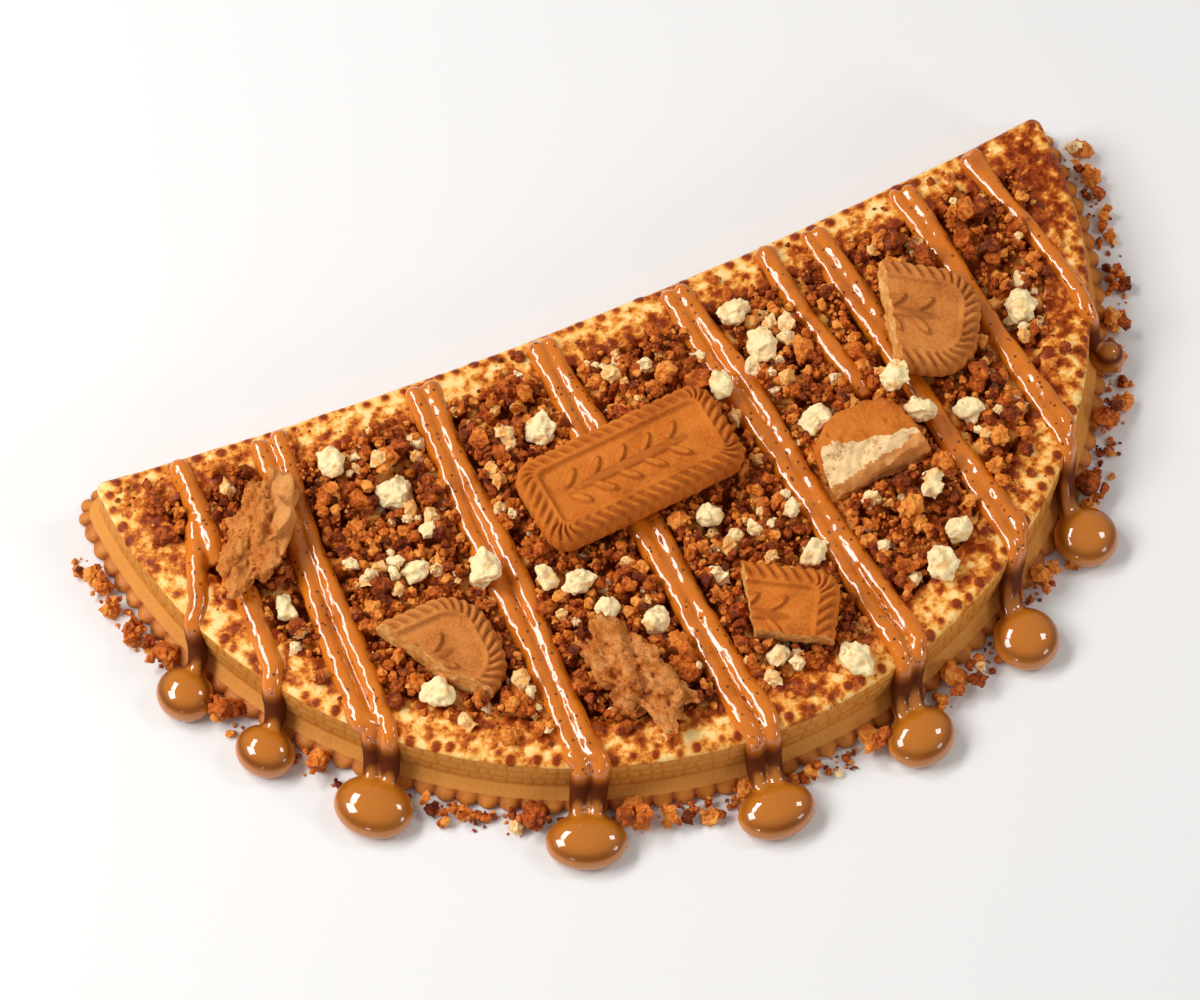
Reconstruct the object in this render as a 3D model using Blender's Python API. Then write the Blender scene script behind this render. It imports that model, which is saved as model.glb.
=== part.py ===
# Half of a large round waffle under caramel drizzle, with a whole biscuit, broken
# biscuits, cream chunks and biscuit crumbs on top. Metres, +Z up. The straight edge lies
# along X at the back, the arc bulges towards -Y, and the waffle rests on z = 0.

import math
import random

import bmesh
import bpy
from mathutils import Euler, Matrix, Vector, noise
from mathutils.bvhtree import BVHTree

# Waffle. Places are measured from the middle of its straight edge.
EDGE_MIDDLE = (0.0004, 0.0757)
RADIUS = 0.135
HOLLOW = 0.0075
TIP_RADIUS = 0.0025
THICKNESS = 0.017
RIM_WIDTH = 0.0125
FIELD_CORNER_RADIUS = 0.0165
RIB_TOP = 0.0162
RIB_WIDTH = 0.0055
GRID_PITCH = 0.0185
FIRST_RIB = -0.0098
TOP_POCKET_DEPTH = (0.0030, 0.0070)
BOTTOM_POCKET_DEPTH = 0.0045
POCKET_DRAFT = 0.0012
TOP_POCKET_MARGIN = 0.0145
BOTTOM_POCKET_MARGIN = 0.0187
OVERCUT = 0.002

# Outer wall, as (height, how far it stands out from the top edge)
WALL = ((0.0029, 0.0030), (0.0053, 0.0003), (0.0157, 0.0), (THICKNESS, -0.0018))
FOOT_BOTTOM_REACH = 0.0042
FOOT_REACH = 0.0047
FOOT_HEIGHT = 0.0013
SCALLOP_DEPTH = 0.0012
SCALLOP_STEPS = 4
ARC_SCALLOPS = 78
BACK_SCALLOPS = 48
TIP_SCALLOPS = 3

# Caramel: one row for each stream, as x where it starts, x where it crosses the front
# edge, strands side by side, strand radius and its drop on the table. A drop is its x, how
# far its middle stands out from the top edge, its radius, and its depth as a share of that.
STREAM_START = -0.0035
STREAM_HEIGHT = 0.0168
STREAM_STEP = 0.024
STRAND_SPREAD = 0.0023
STRAND_WANDER = 0.0007
STREAM_FRONT_REACH = -0.0015
DROP_HEIGHT = 0.0086
DROP_WIDEST_HEIGHT = 0.0032
# Neck of a stream on the wall: share of the way to the drop's middle, how far it stands
# out as a share of the drop's, height, and share of the neck's radius
NECK = (
    (0.0, -0.14, 0.0168, 0.9),
    (0.15, 0.09, 0.0150, 0.95),
    (0.45, 0.22, 0.0085, 0.9),
    (0.75, 0.48, 0.0052, 0.9),
    (1.0, 0.80, 0.0046, 0.8),
)
STREAMS = (
    (-0.0900, -0.0960, 2, 0.0029, (-0.1030, 0.0136, 0.0103, 0.80)),
    (-0.0480, -0.0510, 2, 0.0029, (-0.0580, 0.0144, 0.0104, 0.72)),
    (-0.0140, -0.0080, 2, 0.0029, (-0.0110, 0.0150, 0.0101, 0.74)),
    (0.0245, 0.0355, 2, 0.0028, (0.0310, 0.0144, 0.0092, 0.84)),
    (0.0650, 0.0740, 2, 0.0026, (0.0675, 0.0136, 0.0086, 1.0)),
    (0.0915, 0.0990, 2, 0.0025, (0.0945, 0.0120, 0.0084, 1.0)),
    (0.1120, 0.1208, 1, 0.0026, (0.1234, 0.0058, 0.0045, 1.0)),
)
# Short runs, as their two ends, strand radius, and the drop or None
SHORT_RUNS = (
    ((-0.1135, -0.0050), (-0.1150, -0.0350), 0.0030, None),
    ((-0.1165, -0.0220), (-0.1268, -0.0445), 0.0028, (-0.1345, 0.0118, 0.0078, 0.90)),
    ((-0.1122, -0.0450), (-0.1152, -0.0690), 0.0031, (-0.1220, 0.0119, 0.0080, 0.85)),
    ((0.0505, -0.0095), (0.0565, -0.0590), 0.0032, None),
    ((0.1152, -0.0048), (0.1160, -0.0200), 0.0022, None),
)

# Biscuits
BISCUIT_LENGTH = 0.057
BISCUIT_WIDTH = 0.0275
WIDE_BISCUIT_WIDTH = 0.0305
BISCUIT_HEIGHT = 0.0078
BISCUIT_BORDER = 0.0045
PANEL_DEPTH = 0.0012
ROPE_DEPTH = 0.0004
BASE_INSET = 0.0012
BROW_INSET = 0.0016
WIDEST_HEIGHT = 0.0035
CORNER_RADIUS = 0.0048
ROUND_END_RADIUS = 0.0118
FILLED_STRETCH = 1.35
SPRIG_LEAF = (0.0030, 0.0009, 0.0008)
SPRIG_LEAF_TURN = 42
SPRIG_STEP = 0.0072
SPRIG_SPREAD = 0.0030
SPRIG_PAIRS = 5
# Breaks of each kind of piece: a place on the biscuit, the direction, in degrees, of what
# fell off there, and how much the break leans from upright
BREAKS = {
    "crescent": (((0.0100, 0.0), 207, 0.12), ((0.0140, -0.0070), 220, 0.12)),
    "end": (((0.0047, 0.0), 195, 0.12),),
    "corner": (((0.0068, 0.0), 197, 0.12), ((0.0150, -0.0045), 271, 0.12)),
    "wedge": (((0.0095, 0.0), 180, 0.12), ((0.0095, 0.0), 163, 1.67)),
}
# Rough lumps of a biscuit's inside: half sizes, roughness and seed
LUMPS = {
    "slab": ((0.0170, 0.0085, 0.0050), 0.5, 3.0),
    "lump": ((0.0150, 0.0082, 0.0056), 0.8, 7.0),
}

# Crumbs and chunks
CRUMB_RADIUS = (0.0025, 0.0044)
CRUMB_JAG = (0.78, 1.22)
CRUMB_STRETCH = ((0.85, 1.25), (0.8, 1.1), (0.7, 0.95))
CRUMB_SPACING = 1.25
CRUMB_TRIES = 4000
CRUMB_COUNT = 112
CRUMB_HEIGHT = (0.0148, 0.0168)
CHUNK_FLATNESS = 0.8
FOOT_CRUMB_RADIUS = 0.0042
FOOT_CRUMB_ANGLES = (-161, -152, -141, -118, -108, -96, -82, -71, -56, -44, -36, -24)
GAP = 0.0004
DROP_STEP = 0.00015

CRUST = (0.80, 0.50, 0.20, 1.0)
BISCUIT = (0.46, 0.20, 0.065, 1.0)
CREAM = (0.90, 0.74, 0.48, 1.0)


def clear_scene():
    for thing in list(bpy.data.objects):
        bpy.data.objects.remove(thing)


def material(name, colour, roughness):
    made = bpy.data.materials.new(name)
    made.use_nodes = True
    shader = made.node_tree.nodes["Principled BSDF"]
    shader.inputs["Base Color"].default_value = colour
    shader.inputs["Roughness"].default_value = roughness
    shader.inputs["Metallic"].default_value = 0.0
    return made


def add_object(name, bm, finish=None):
    """Turn a bmesh into an object of the scene."""
    bmesh.ops.recalc_face_normals(bm, faces=bm.faces)
    mesh = bpy.data.meshes.new(name)
    bm.to_mesh(mesh)
    bm.free()
    thing = bpy.data.objects.new(name, mesh)
    bpy.context.collection.objects.link(thing)
    if finish:
        mesh.materials.append(finish)
    return thing


def apply_modifiers(thing):
    """Make the object's mesh what its modifiers show, and drop them."""
    bpy.context.view_layer.update()
    seen = thing.evaluated_get(bpy.context.evaluated_depsgraph_get())
    mesh = bpy.data.meshes.new_from_object(seen)
    thing.modifiers.clear()
    thing.data = mesh


def boolean(thing, operation, cutter):
    """Cut, keep or join with one other closed object, which is then removed."""
    modifier = thing.modifiers.new(operation.lower(), "BOOLEAN")
    modifier.operation = operation
    modifier.object = cutter
    apply_modifiers(thing)
    bpy.data.objects.remove(cutter)


# Outline of the half moon


def sections(tip):
    """Its four curves, counter-clockwise: centre, radius, first and last angle, scallops
    and side, which is -1 where the curve is hollow."""
    far = (RADIUS ** 2 + HOLLOW ** 2) / (2 * HOLLOW)
    rise = far - HOLLOW
    y = ((RADIUS - tip) ** 2 - (far + tip) ** 2 + rise ** 2) / (2 * rise)
    x = math.sqrt((RADIUS - tip) ** 2 - y ** 2)
    arc_end = math.atan2(y, x)
    tip_end = math.atan2(rise - y, -x)
    back = math.atan2(y - rise, x)
    return (
        (Vector((x, y)), tip, arc_end, tip_end, TIP_SCALLOPS, 1),
        (Vector((0.0, rise)), far, back, -math.pi - back, BACK_SCALLOPS, -1),
        (Vector((-x, y)), tip, math.pi - tip_end, math.pi - arc_end, TIP_SCALLOPS, 1),
        (Vector((0.0, 0.0)), RADIUS, math.pi - arc_end, 2 * math.pi + arc_end, ARC_SCALLOPS, 1),
    )


def outline(offset, tip=TIP_RADIUS, steps=1, depth=0.0):
    """Points round the half moon, grown by the offset, with scallops of some depth."""
    points = []
    for centre, radius, start, end, scallops, side in sections(tip):
        for i in range(scallops * steps):
            lobe = depth * math.sin(math.pi * (i % steps) / steps)
            angle = start + (end - start) * i / (scallops * steps)
            reach = radius + side * (offset + lobe)
            points.append(centre + reach * Vector((math.cos(angle), math.sin(angle))))
    return points


def edge_point(x, offset=0.0):
    """The point of the front arc, grown by the offset, that has this x."""
    reach = RADIUS + offset
    return Vector((x, -math.sqrt(reach ** 2 - x ** 2)))


def inside(point, margin):
    """Whether a point lies within the half moon by at least the margin."""
    back_edge = -HOLLOW * (1 - (point.x / RADIUS) ** 2)
    return point.length < RADIUS - margin and point.y < back_edge - margin


def ring(bm, points, height):
    return [bm.verts.new((p.x, p.y, height)) for p in points]


def stitch(bm, low, high):
    """Faces between two rings whose sizes are the same or one a multiple of the other."""
    count = max(len(low), len(high))
    low_step = count // len(low)
    high_step = count // len(high)
    for i in range(count):
        a = low[i // low_step]
        b = low[(i + 1) // low_step % len(low)]
        c = high[(i + 1) // high_step % len(high)]
        d = high[i // high_step]
        corners = []
        for corner in (a, b, c, d):
            if corner not in corners:
                corners.append(corner)
        bm.faces.new(corners)


def prism(name, points, low, high):
    bm = bmesh.new()
    bottom = ring(bm, points, low)
    top = ring(bm, points, high)
    stitch(bm, bottom, top)
    bm.faces.new(bottom)
    bm.faces.new(top)
    return add_object(name, bm)


# Waffle


def pocket_places():
    """Middles of the square pockets of a grid as wide as the whole waffle."""
    places = []
    columns = round(RADIUS / GRID_PITCH)
    for row in range(columns):
        for column in range(-columns, columns):
            x = (column + 0.5) * GRID_PITCH
            y = FIRST_RIB - (row + 0.5) * GRID_PITCH
            places.append(Vector((x, y)))
    return places


def pocket_cutter(name, places, spans):
    """One tapered block for each pocket, from the depth of its floor to its mouth."""
    bm = bmesh.new()
    half = (GRID_PITCH - RIB_WIDTH) / 2
    for place, (floor, mouth) in zip(places, spans):
        floor_square = [Vector((sx, sy)) * (half - POCKET_DRAFT) + place
                        for sx, sy in ((-1, -1), (1, -1), (1, 1), (-1, 1))]
        mouth_square = [Vector((sx, sy)) * half + place
                        for sx, sy in ((-1, -1), (1, -1), (1, 1), (-1, 1))]
        low = ring(bm, floor_square, floor)
        high = ring(bm, mouth_square, mouth)
        stitch(bm, low, high)
        bm.faces.new(low)
        bm.faces.new(high)
    return add_object(name, bm)


def waffle_core(finish):
    """The baked half moon: a flared scalloped foot, a smooth rim, a grid on both faces."""
    bm = bmesh.new()
    rings = [ring(bm, outline(FOOT_BOTTOM_REACH), 0.0)]
    foot = outline(FOOT_REACH, steps=SCALLOP_STEPS, depth=SCALLOP_DEPTH)
    rings.append(ring(bm, foot, FOOT_HEIGHT))
    for height, reach in WALL:
        rings.append(ring(bm, outline(reach), height))
    for low, high in zip(rings, rings[1:]):
        stitch(bm, low, high)
    bm.faces.new(rings[0])
    bm.faces.new(rings[-1])
    core = add_object("waffle", bm, finish)

    rim_edge = outline(-RIM_WIDTH, tip=FIELD_CORNER_RADIUS)
    boolean(core, "DIFFERENCE", prism("field", rim_edge, RIB_TOP, THICKNESS * 2))

    draw = random.Random(5)
    places = [p for p in pocket_places() if inside(p, TOP_POCKET_MARGIN)]
    spans = []
    for _ in places:
        spans.append((RIB_TOP - draw.uniform(*TOP_POCKET_DEPTH), RIB_TOP + OVERCUT))
    pockets = pocket_cutter("pockets", places, spans)
    boolean(pockets, "INTERSECT", prism("field", rim_edge, 0.0, THICKNESS * 2))
    boolean(core, "DIFFERENCE", pockets)

    places = [p for p in places if inside(p, BOTTOM_POCKET_MARGIN)]
    spans = [(BOTTOM_POCKET_DEPTH, -OVERCUT)] * len(places)
    boolean(core, "DIFFERENCE", pocket_cutter("under_pockets", places, spans))
    return core


# Caramel


def tube(name, points, radii, sides):
    """A round rope of caramel along the points, closed at both ends."""
    curve = bpy.data.curves.new(name, "CURVE")
    curve.dimensions = "3D"
    curve.bevel_depth = 1.0
    curve.bevel_resolution = (sides - 4) // 2
    curve.use_fill_caps = True
    spline = curve.splines.new("POLY")
    spline.points.add(len(points) - 1)
    for spot, point, radius in zip(spline.points, points, radii):
        spot.co = (*point, 1.0)
        spot.radius = radius
    rope = bpy.data.objects.new(name, curve)
    bpy.context.collection.objects.link(rope)
    bpy.context.view_layer.update()
    seen = rope.evaluated_get(bpy.context.evaluated_depsgraph_get())
    bm = bmesh.new()
    bm.from_mesh(seen.to_mesh())
    bmesh.ops.remove_doubles(bm, verts=bm.verts, dist=0.00001)
    bpy.data.objects.remove(rope)
    return add_object(name, bm)


def run(start, end, radius, aside, phase):
    """A strand that lies on the waffle from start to end, slightly wandering."""
    steps = max(2, round((end - start).length / STREAM_STEP))
    points = []
    radii = []
    for i in range(steps + 1):
        place = start.lerp(end, i / steps)
        sway = aside + STRAND_WANDER * math.sin(1.9 * i + phase)
        points.append((place.x + sway, place.y, STREAM_HEIGHT))
        radii.append(radius * (1 + 0.08 * math.sin(2.3 * i + phase)))
    back = Vector(points[0]) + Vector((0.0, 0.6, -0.2)) * radius
    points.insert(0, back)
    radii.insert(0, 0.55 * radius)
    return tube("strand", points, radii, 6)


def drip(edge_x, radius, drop):
    """The neck that runs down the wall from the top edge, and the drop at its foot."""
    drop_x, drop_reach, drop_radius, depth = drop
    start = math.atan2(*edge_point(edge_x).yx)
    end = math.atan2(*edge_point(drop_x, drop_reach).yx)
    points = []
    radii = []
    for share, out, height, width in NECK:
        angle = start + (end - start) * share
        reach = RADIUS + out * drop_reach
        points.append((reach * math.cos(angle), reach * math.sin(angle), height))
        radii.append(radius * width)
    neck = tube("neck", points, radii, 8)

    bm = bmesh.new()
    bmesh.ops.create_icosphere(bm, subdivisions=2, radius=drop_radius)
    rise = (DROP_HEIGHT - DROP_WIDEST_HEIGHT) / drop_radius
    bmesh.ops.scale(bm, vec=(depth, 1.0, rise), verts=bm.verts)
    bmesh.ops.rotate(bm, matrix=Matrix.Rotation(end, 3, "Z"), verts=bm.verts)
    place = (*edge_point(drop_x, drop_reach), DROP_WIDEST_HEIGHT)
    bmesh.ops.translate(bm, vec=place, verts=bm.verts)
    for vert in bm.verts:
        vert.co.z = max(0.0, vert.co.z)
    return [neck, add_object("drop", bm)]


def caramel():
    pieces = []
    for number, row in enumerate(STREAMS):
        start_x, end_x, strands, radius, drop = row
        back_edge = -HOLLOW * (1 - (start_x / RADIUS) ** 2)
        start = Vector((start_x, back_edge + STREAM_START))
        end = edge_point(end_x, STREAM_FRONT_REACH)
        for strand in range(strands):
            aside = (2 * strand - strands + 1) * STRAND_SPREAD
            pieces.append(run(start, end, radius, aside, number + 2.0 * strand))
        neck_radius = radius + 0.6 * STRAND_SPREAD * (strands - 1)
        pieces.extend(drip(end_x, neck_radius, drop))
    for number, (start, end, radius, drop) in enumerate(SHORT_RUNS):
        pieces.append(run(Vector(start), Vector(end), radius, 0.0, number))
        if drop:
            pieces.extend(drip(end[0], radius, drop))
    return pieces


def near_caramel(point, margin):
    """Whether a point on the waffle lies in or near one of the streams."""
    for start_x, end_x, strands, radius, _ in STREAMS:
        share = point.y / edge_point(end_x).y
        middle = start_x + (end_x - start_x) * share
        if abs(point.x - middle) < radius + STRAND_SPREAD * (strands - 1) + margin:
            return True
    for start, end, radius, _ in SHORT_RUNS:
        line = Vector(end) - Vector(start)
        share = min(1.0, max(0.0, (point - Vector(start)).dot(line) / line.length_squared))
        if (point - Vector(start) - line * share).length < radius + margin:
            return True
    return False


# Toppings on the waffle: name, kind, middle on the waffle, turn in degrees, half size of
# the ground that it keeps free of crumbs, and tilt in degrees about X and Y
BISCUITS = (
    ("biscuit_whole", "whole", (-0.0092, -0.0560), 4, (0.0290, 0.0140), (0, 0)),
    ("biscuit_rough_slab", "slab", (-0.1020, -0.0335), 48, (0.0165, 0.0085), (-18, 0)),
    ("biscuit_round_end", "crescent", (-0.0720, -0.0835), 3, (0.0150, 0.0165), (4, 2)),
    ("biscuit_lump", "lump", (-0.0305, -0.1105), -73, (0.0150, 0.0085), (0, 0)),
    ("biscuit_corner", "corner", (0.0118, -0.1062), -33, (0.0130, 0.0095), (14, -3)),
    ("biscuit_pale_break", "wedge", (0.0494, -0.0730), 94, (0.0095, 0.0140), (0, 4)),
    ("biscuit_end", "end", (0.0785, -0.0478), -31, (0.0130, 0.0150), (3, 5)),
)
# Cream chunks: middle on the waffle and radius
CHUNKS = (
    (-0.078, -0.022, 0.0056), (-0.066, -0.035, 0.0054), (-0.0245, -0.034, 0.0048),
    (-0.104, -0.053, 0.0042), (-0.0785, -0.092, 0.0052), (-0.0695, -0.0585, 0.0042),
    (-0.0545, -0.0660, 0.0052), (-0.0405, -0.0735, 0.0036), (-0.0335, -0.0785, 0.0042),
    (-0.0300, -0.0880, 0.0038), (-0.0205, -0.0960, 0.0042), (0.0045, -0.0745, 0.0040),
    (0.0350, -0.0240, 0.0046), (0.0375, -0.0355, 0.0052), (0.0415, -0.0600, 0.0050),
    (0.0240, -0.0955, 0.0036), (0.0215, -0.1262, 0.0044), (0.0635, -0.0600, 0.0048),
    (0.0660, -0.0715, 0.0042), (0.0785, -0.0735, 0.0044), (0.0525, -0.1115, 0.0048),
    (0.0605, -0.1050, 0.0050), (0.1045, -0.0520, 0.0052), (0.0040, -0.1180, 0.0034),
    (0.0225, -0.0430, 0.0036),
)


def on_topping(point, margin):
    for _, _, middle, turn, half, _ in BISCUITS:
        offset = Matrix.Rotation(-math.radians(turn), 2) @ (point - Vector(middle))
        share = Vector((offset.x / (half[0] + margin), offset.y / (half[1] + margin)))
        if share.length < 1:
            return True
    for x, y, radius in CHUNKS:
        if (point - Vector((x, y))).length < radius + margin:
            return True
    return False


def crumb(draw, radius):
    """A small jagged stone of crumb with few faces."""
    bm = bmesh.new()
    bmesh.ops.create_icosphere(bm, subdivisions=1, radius=radius)
    for vert in bm.verts:
        vert.co *= draw.uniform(*CRUMB_JAG)
    size = [draw.uniform(*span) for span in CRUMB_STRETCH]
    bmesh.ops.scale(bm, vec=size, verts=bm.verts)
    turn = Euler([draw.uniform(0, math.tau) for _ in range(3)]).to_matrix()
    bmesh.ops.rotate(bm, matrix=turn, verts=bm.verts)
    return bm


def crumbs():
    """Crumbs over the field, clear of caramel and toppings, and a few at the foot."""
    draw = random.Random(21)
    pieces = []
    placed = []
    for _ in range(CRUMB_TRIES):
        point = Vector((draw.uniform(-RADIUS, RADIUS), draw.uniform(-RADIUS, 0.0)))
        radius = draw.uniform(*CRUMB_RADIUS)
        crowded = any((point - other).length < CRUMB_SPACING * (radius + size)
                      for other, size in placed)
        if len(placed) == CRUMB_COUNT:
            break
        if crowded or not inside(point, RIM_WIDTH * 0.75 + radius):
            continue
        if near_caramel(point, radius * 0.4) or on_topping(point, radius * 0.9):
            continue
        placed.append((point, radius))
        bm = crumb(draw, radius)
        bmesh.ops.translate(bm, vec=(*point, draw.uniform(*CRUMB_HEIGHT)), verts=bm.verts)
        pieces.append(add_object("crumb", bm))
    for angle in FOOT_CRUMB_ANGLES:
        radius = FOOT_CRUMB_RADIUS * draw.uniform(0.75, 1.1)
        bm = crumb(draw, radius)
        reach = RADIUS + FOOT_REACH + radius * 0.7
        turn = math.radians(angle)
        place = (reach * math.cos(turn), reach * math.sin(turn), radius * 0.7)
        bmesh.ops.translate(bm, vec=place, verts=bm.verts)
        for vert in bm.verts:
            vert.co.z = max(0.0, vert.co.z)
        pieces.append(add_object("crumb", bm))
    return pieces


def keep_largest_shell(thing):
    """Drop loose scraps, and fill hollows that fusing sealed, by keeping the outer shell."""
    bm = bmesh.new()
    bm.from_mesh(thing.data)
    bmesh.ops.remove_doubles(bm, verts=bm.verts, dist=0.000002)
    bmesh.ops.dissolve_degenerate(bm, edges=bm.edges, dist=0.000002)
    wires = [e for e in bm.edges if e.is_wire]
    bmesh.ops.delete(bm, geom=wires, context="EDGES")
    bmesh.ops.holes_fill(bm, edges=[e for e in bm.edges if e.is_boundary])
    left = set(bm.verts)
    shells = []
    while left:
        shell = {left.pop()}
        edge_of_shell = list(shell)
        while edge_of_shell:
            vert = edge_of_shell.pop()
            for edge in vert.link_edges:
                other = edge.other_vert(vert)
                if other in left:
                    left.remove(other)
                    shell.add(other)
                    edge_of_shell.append(other)
        shells.append(shell)
    largest = max(shells, key=len)
    for shell in shells:
        if shell is not largest:
            bmesh.ops.delete(bm, geom=list(shell), context="VERTS")
    bm.to_mesh(thing.data)
    bm.free()


def join_all(core, pieces):
    """Fuse the pieces to the core in one union, and remove them."""
    group = bpy.data.collections.new("fused")
    bpy.context.scene.collection.children.link(group)
    for piece in pieces:
        bpy.context.collection.objects.unlink(piece)
        group.objects.link(piece)
    modifier = core.modifiers.new("fuse", "BOOLEAN")
    modifier.operation = "UNION"
    modifier.operand_type = "COLLECTION"
    modifier.collection = group
    modifier.solver = "MANIFOLD"
    apply_modifiers(core)
    for piece in pieces:
        bpy.data.objects.remove(piece)
    bpy.data.collections.remove(group)
    keep_largest_shell(core)


# Biscuits


def rounded_rectangle(length, width, corner, inset):
    """Evenly spaced points round a rounded rectangle, moved in by the inset."""
    corner = max(corner, 0.0001)
    across = (length / 2 - corner, width / 2 - corner)
    points = []
    turns = ((1, 1), (-1, 1), (-1, -1), (1, -1))
    for quarter, (sx, sy) in enumerate(turns):
        middle = Vector((sx * across[0], sy * across[1]))
        for i in range(4):
            angle = math.pi / 2 * (quarter + i / 3)
            points.append(middle + (corner - inset) * Vector((math.cos(angle), math.sin(angle))))
        following = turns[(quarter + 1) % 4]
        target = Vector((following[0] * across[0], following[1] * across[1]))
        normal = Vector((math.cos(math.pi / 2 * (quarter + 1)), math.sin(math.pi / 2 * (quarter + 1))))
        steps = 12 if quarter % 2 == 0 else 4
        for i in range(1, steps):
            points.append(middle.lerp(target, i / steps) + (corner - inset) * normal)
    return points


def rope_ring(bm, length, width, corner, inset, height, wave):
    """A ring whose points rise and fall in turn, as the rope border's strands do."""
    points = rounded_rectangle(length, width, corner, inset)
    return [bm.verts.new((p.x, p.y, height + wave * (-1) ** i)) for i, p in enumerate(points)]


def biscuit(length, width, corner):
    """A rectangular biscuit with a rope border round a sunk panel, its base on z = 0."""
    bm = bmesh.new()
    sizes = (length, width, corner)
    rings = [
        rope_ring(bm, *sizes, BASE_INSET, 0.0, 0.0),
        rope_ring(bm, *sizes, 0.0, WIDEST_HEIGHT, 0.0),
        rope_ring(bm, *sizes, BROW_INSET, BISCUIT_HEIGHT - ROPE_DEPTH, ROPE_DEPTH),
        rope_ring(bm, *sizes, BISCUIT_BORDER, BISCUIT_HEIGHT - PANEL_DEPTH, 0.0),
    ]
    for low, high in zip(rings, rings[1:]):
        stitch(bm, low, high)
    bm.faces.new(rings[0])
    bm.faces.new(rings[-1])
    thing = add_object("biscuit", bm)

    leaves = []
    for i in range(SPRIG_PAIRS):
        for side in (-1, 1):
            bm = bmesh.new()
            bmesh.ops.create_icosphere(bm, subdivisions=1, radius=1.0)
            bmesh.ops.scale(bm, vec=SPRIG_LEAF, verts=bm.verts)
            turn = Matrix.Rotation(math.radians(side * SPRIG_LEAF_TURN), 3, "Z")
            bmesh.ops.rotate(bm, matrix=turn, verts=bm.verts)
            along = (i - SPRIG_PAIRS / 2 + 0.3) * SPRIG_STEP
            place = (along, side * SPRIG_SPREAD, BISCUIT_HEIGHT - PANEL_DEPTH)
            bmesh.ops.translate(bm, vec=place, verts=bm.verts)
            leaves.append(add_object("leaf", bm))
    join_all(thing, leaves)
    return thing


def break_off(thing, cuts):
    """Break the thing along upright planes: for each, a place and the way that falls off."""
    bm = bmesh.new()
    bm.from_mesh(thing.data)
    for place, angle, lean in cuts:
        away = (math.cos(math.radians(angle)), math.sin(math.radians(angle)), lean)
        everything = bm.verts[:] + bm.edges[:] + bm.faces[:]
        cut = bmesh.ops.bisect_plane(bm, geom=everything, dist=0.00001, clear_outer=True,
                                     plane_co=(*place, BISCUIT_HEIGHT / 2), plane_no=away)
        edges = [e for e in cut["geom_cut"] if isinstance(e, bmesh.types.BMEdge)]
        bmesh.ops.triangle_fill(bm, use_beauty=True, edges=edges)
    across = [v.co.x for v in bm.verts]
    along = [v.co.y for v in bm.verts]
    middle = Vector((min(across) + max(across), min(along) + max(along), 0.0)) / 2
    bmesh.ops.translate(bm, vec=-middle, verts=bm.verts)
    bpy.data.objects.remove(thing)
    return add_object("biscuit", bm)


def rubble(size, roughness, seed):
    """A rough lump, as a biscuit's crumbly inside looks."""
    bm = bmesh.new()
    bmesh.ops.create_icosphere(bm, subdivisions=2, radius=1.0)
    for vert in bm.verts:
        push = 1 + roughness * noise.noise(vert.co * 2.2 + Vector((seed, seed, 0.0)))
        vert.co *= push
    bmesh.ops.scale(bm, vec=size, verts=bm.verts)
    return add_object("lump", bm)


def biscuit_of_kind(kind):
    if kind in LUMPS:
        return rubble(*LUMPS[kind])
    if kind in ("crescent", "end"):
        whole = biscuit(BISCUIT_LENGTH, WIDE_BISCUIT_WIDTH, ROUND_END_RADIUS)
    elif kind == "wedge":
        whole = biscuit(BISCUIT_LENGTH, BISCUIT_WIDTH, ROUND_END_RADIUS)
    else:
        whole = biscuit(BISCUIT_LENGTH, BISCUIT_WIDTH, CORNER_RADIUS)
    if kind in BREAKS:
        whole = break_off(whole, BREAKS[kind])
    if kind == "wedge":
        whole.data.transform(Matrix.Diagonal((1.0, 1.0, FILLED_STRETCH, 1.0)))
    return whole


def lower_onto(thing, settled):
    """Lower the thing until it just misses everything that is settled."""
    mesh = thing.data
    faces = [tuple(polygon.vertices) for polygon in mesh.polygons]
    top = THICKNESS * 2
    lowest = min(v.co.z for v in mesh.vertices)
    height = top - lowest
    while height > -THICKNESS:
        moved = [v.co + Vector((0.0, 0.0, height)) for v in mesh.vertices]
        tree = BVHTree.FromPolygons(moved, faces)
        if any(tree.overlap(other) for other in settled):
            break
        height -= DROP_STEP
    height += DROP_STEP + GAP
    mesh.transform(Matrix.Translation((0.0, 0.0, height)))
    moved = [v.co.copy() for v in mesh.vertices]
    settled.append(BVHTree.FromPolygons(moved, faces))


def place_biscuits(settled, finish):
    for name, kind, middle, turn, _, tilt in BISCUITS:
        thing = biscuit_of_kind(kind)
        thing.name = name
        thing.data.materials.clear()
        thing.data.materials.append(finish)
        turned = Euler((math.radians(tilt[0]), math.radians(tilt[1]), math.radians(turn)))
        place = Matrix.Translation((*middle, 0.0)) @ turned.to_matrix().to_4x4()
        thing.data.transform(place)
        lower_onto(thing, settled)


def place_chunks(settled, finish):
    draw = random.Random(8)
    for number, (x, y, radius) in enumerate(CHUNKS, start=1):
        bm = crumb(draw, radius)
        bmesh.ops.scale(bm, vec=(1.0, 1.0, CHUNK_FLATNESS), verts=bm.verts)
        bmesh.ops.translate(bm, vec=(x, y, 0.0), verts=bm.verts)
        thing = add_object(f"cream_chunk_{number:02d}", bm, finish)
        lower_onto(thing, settled)


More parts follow.
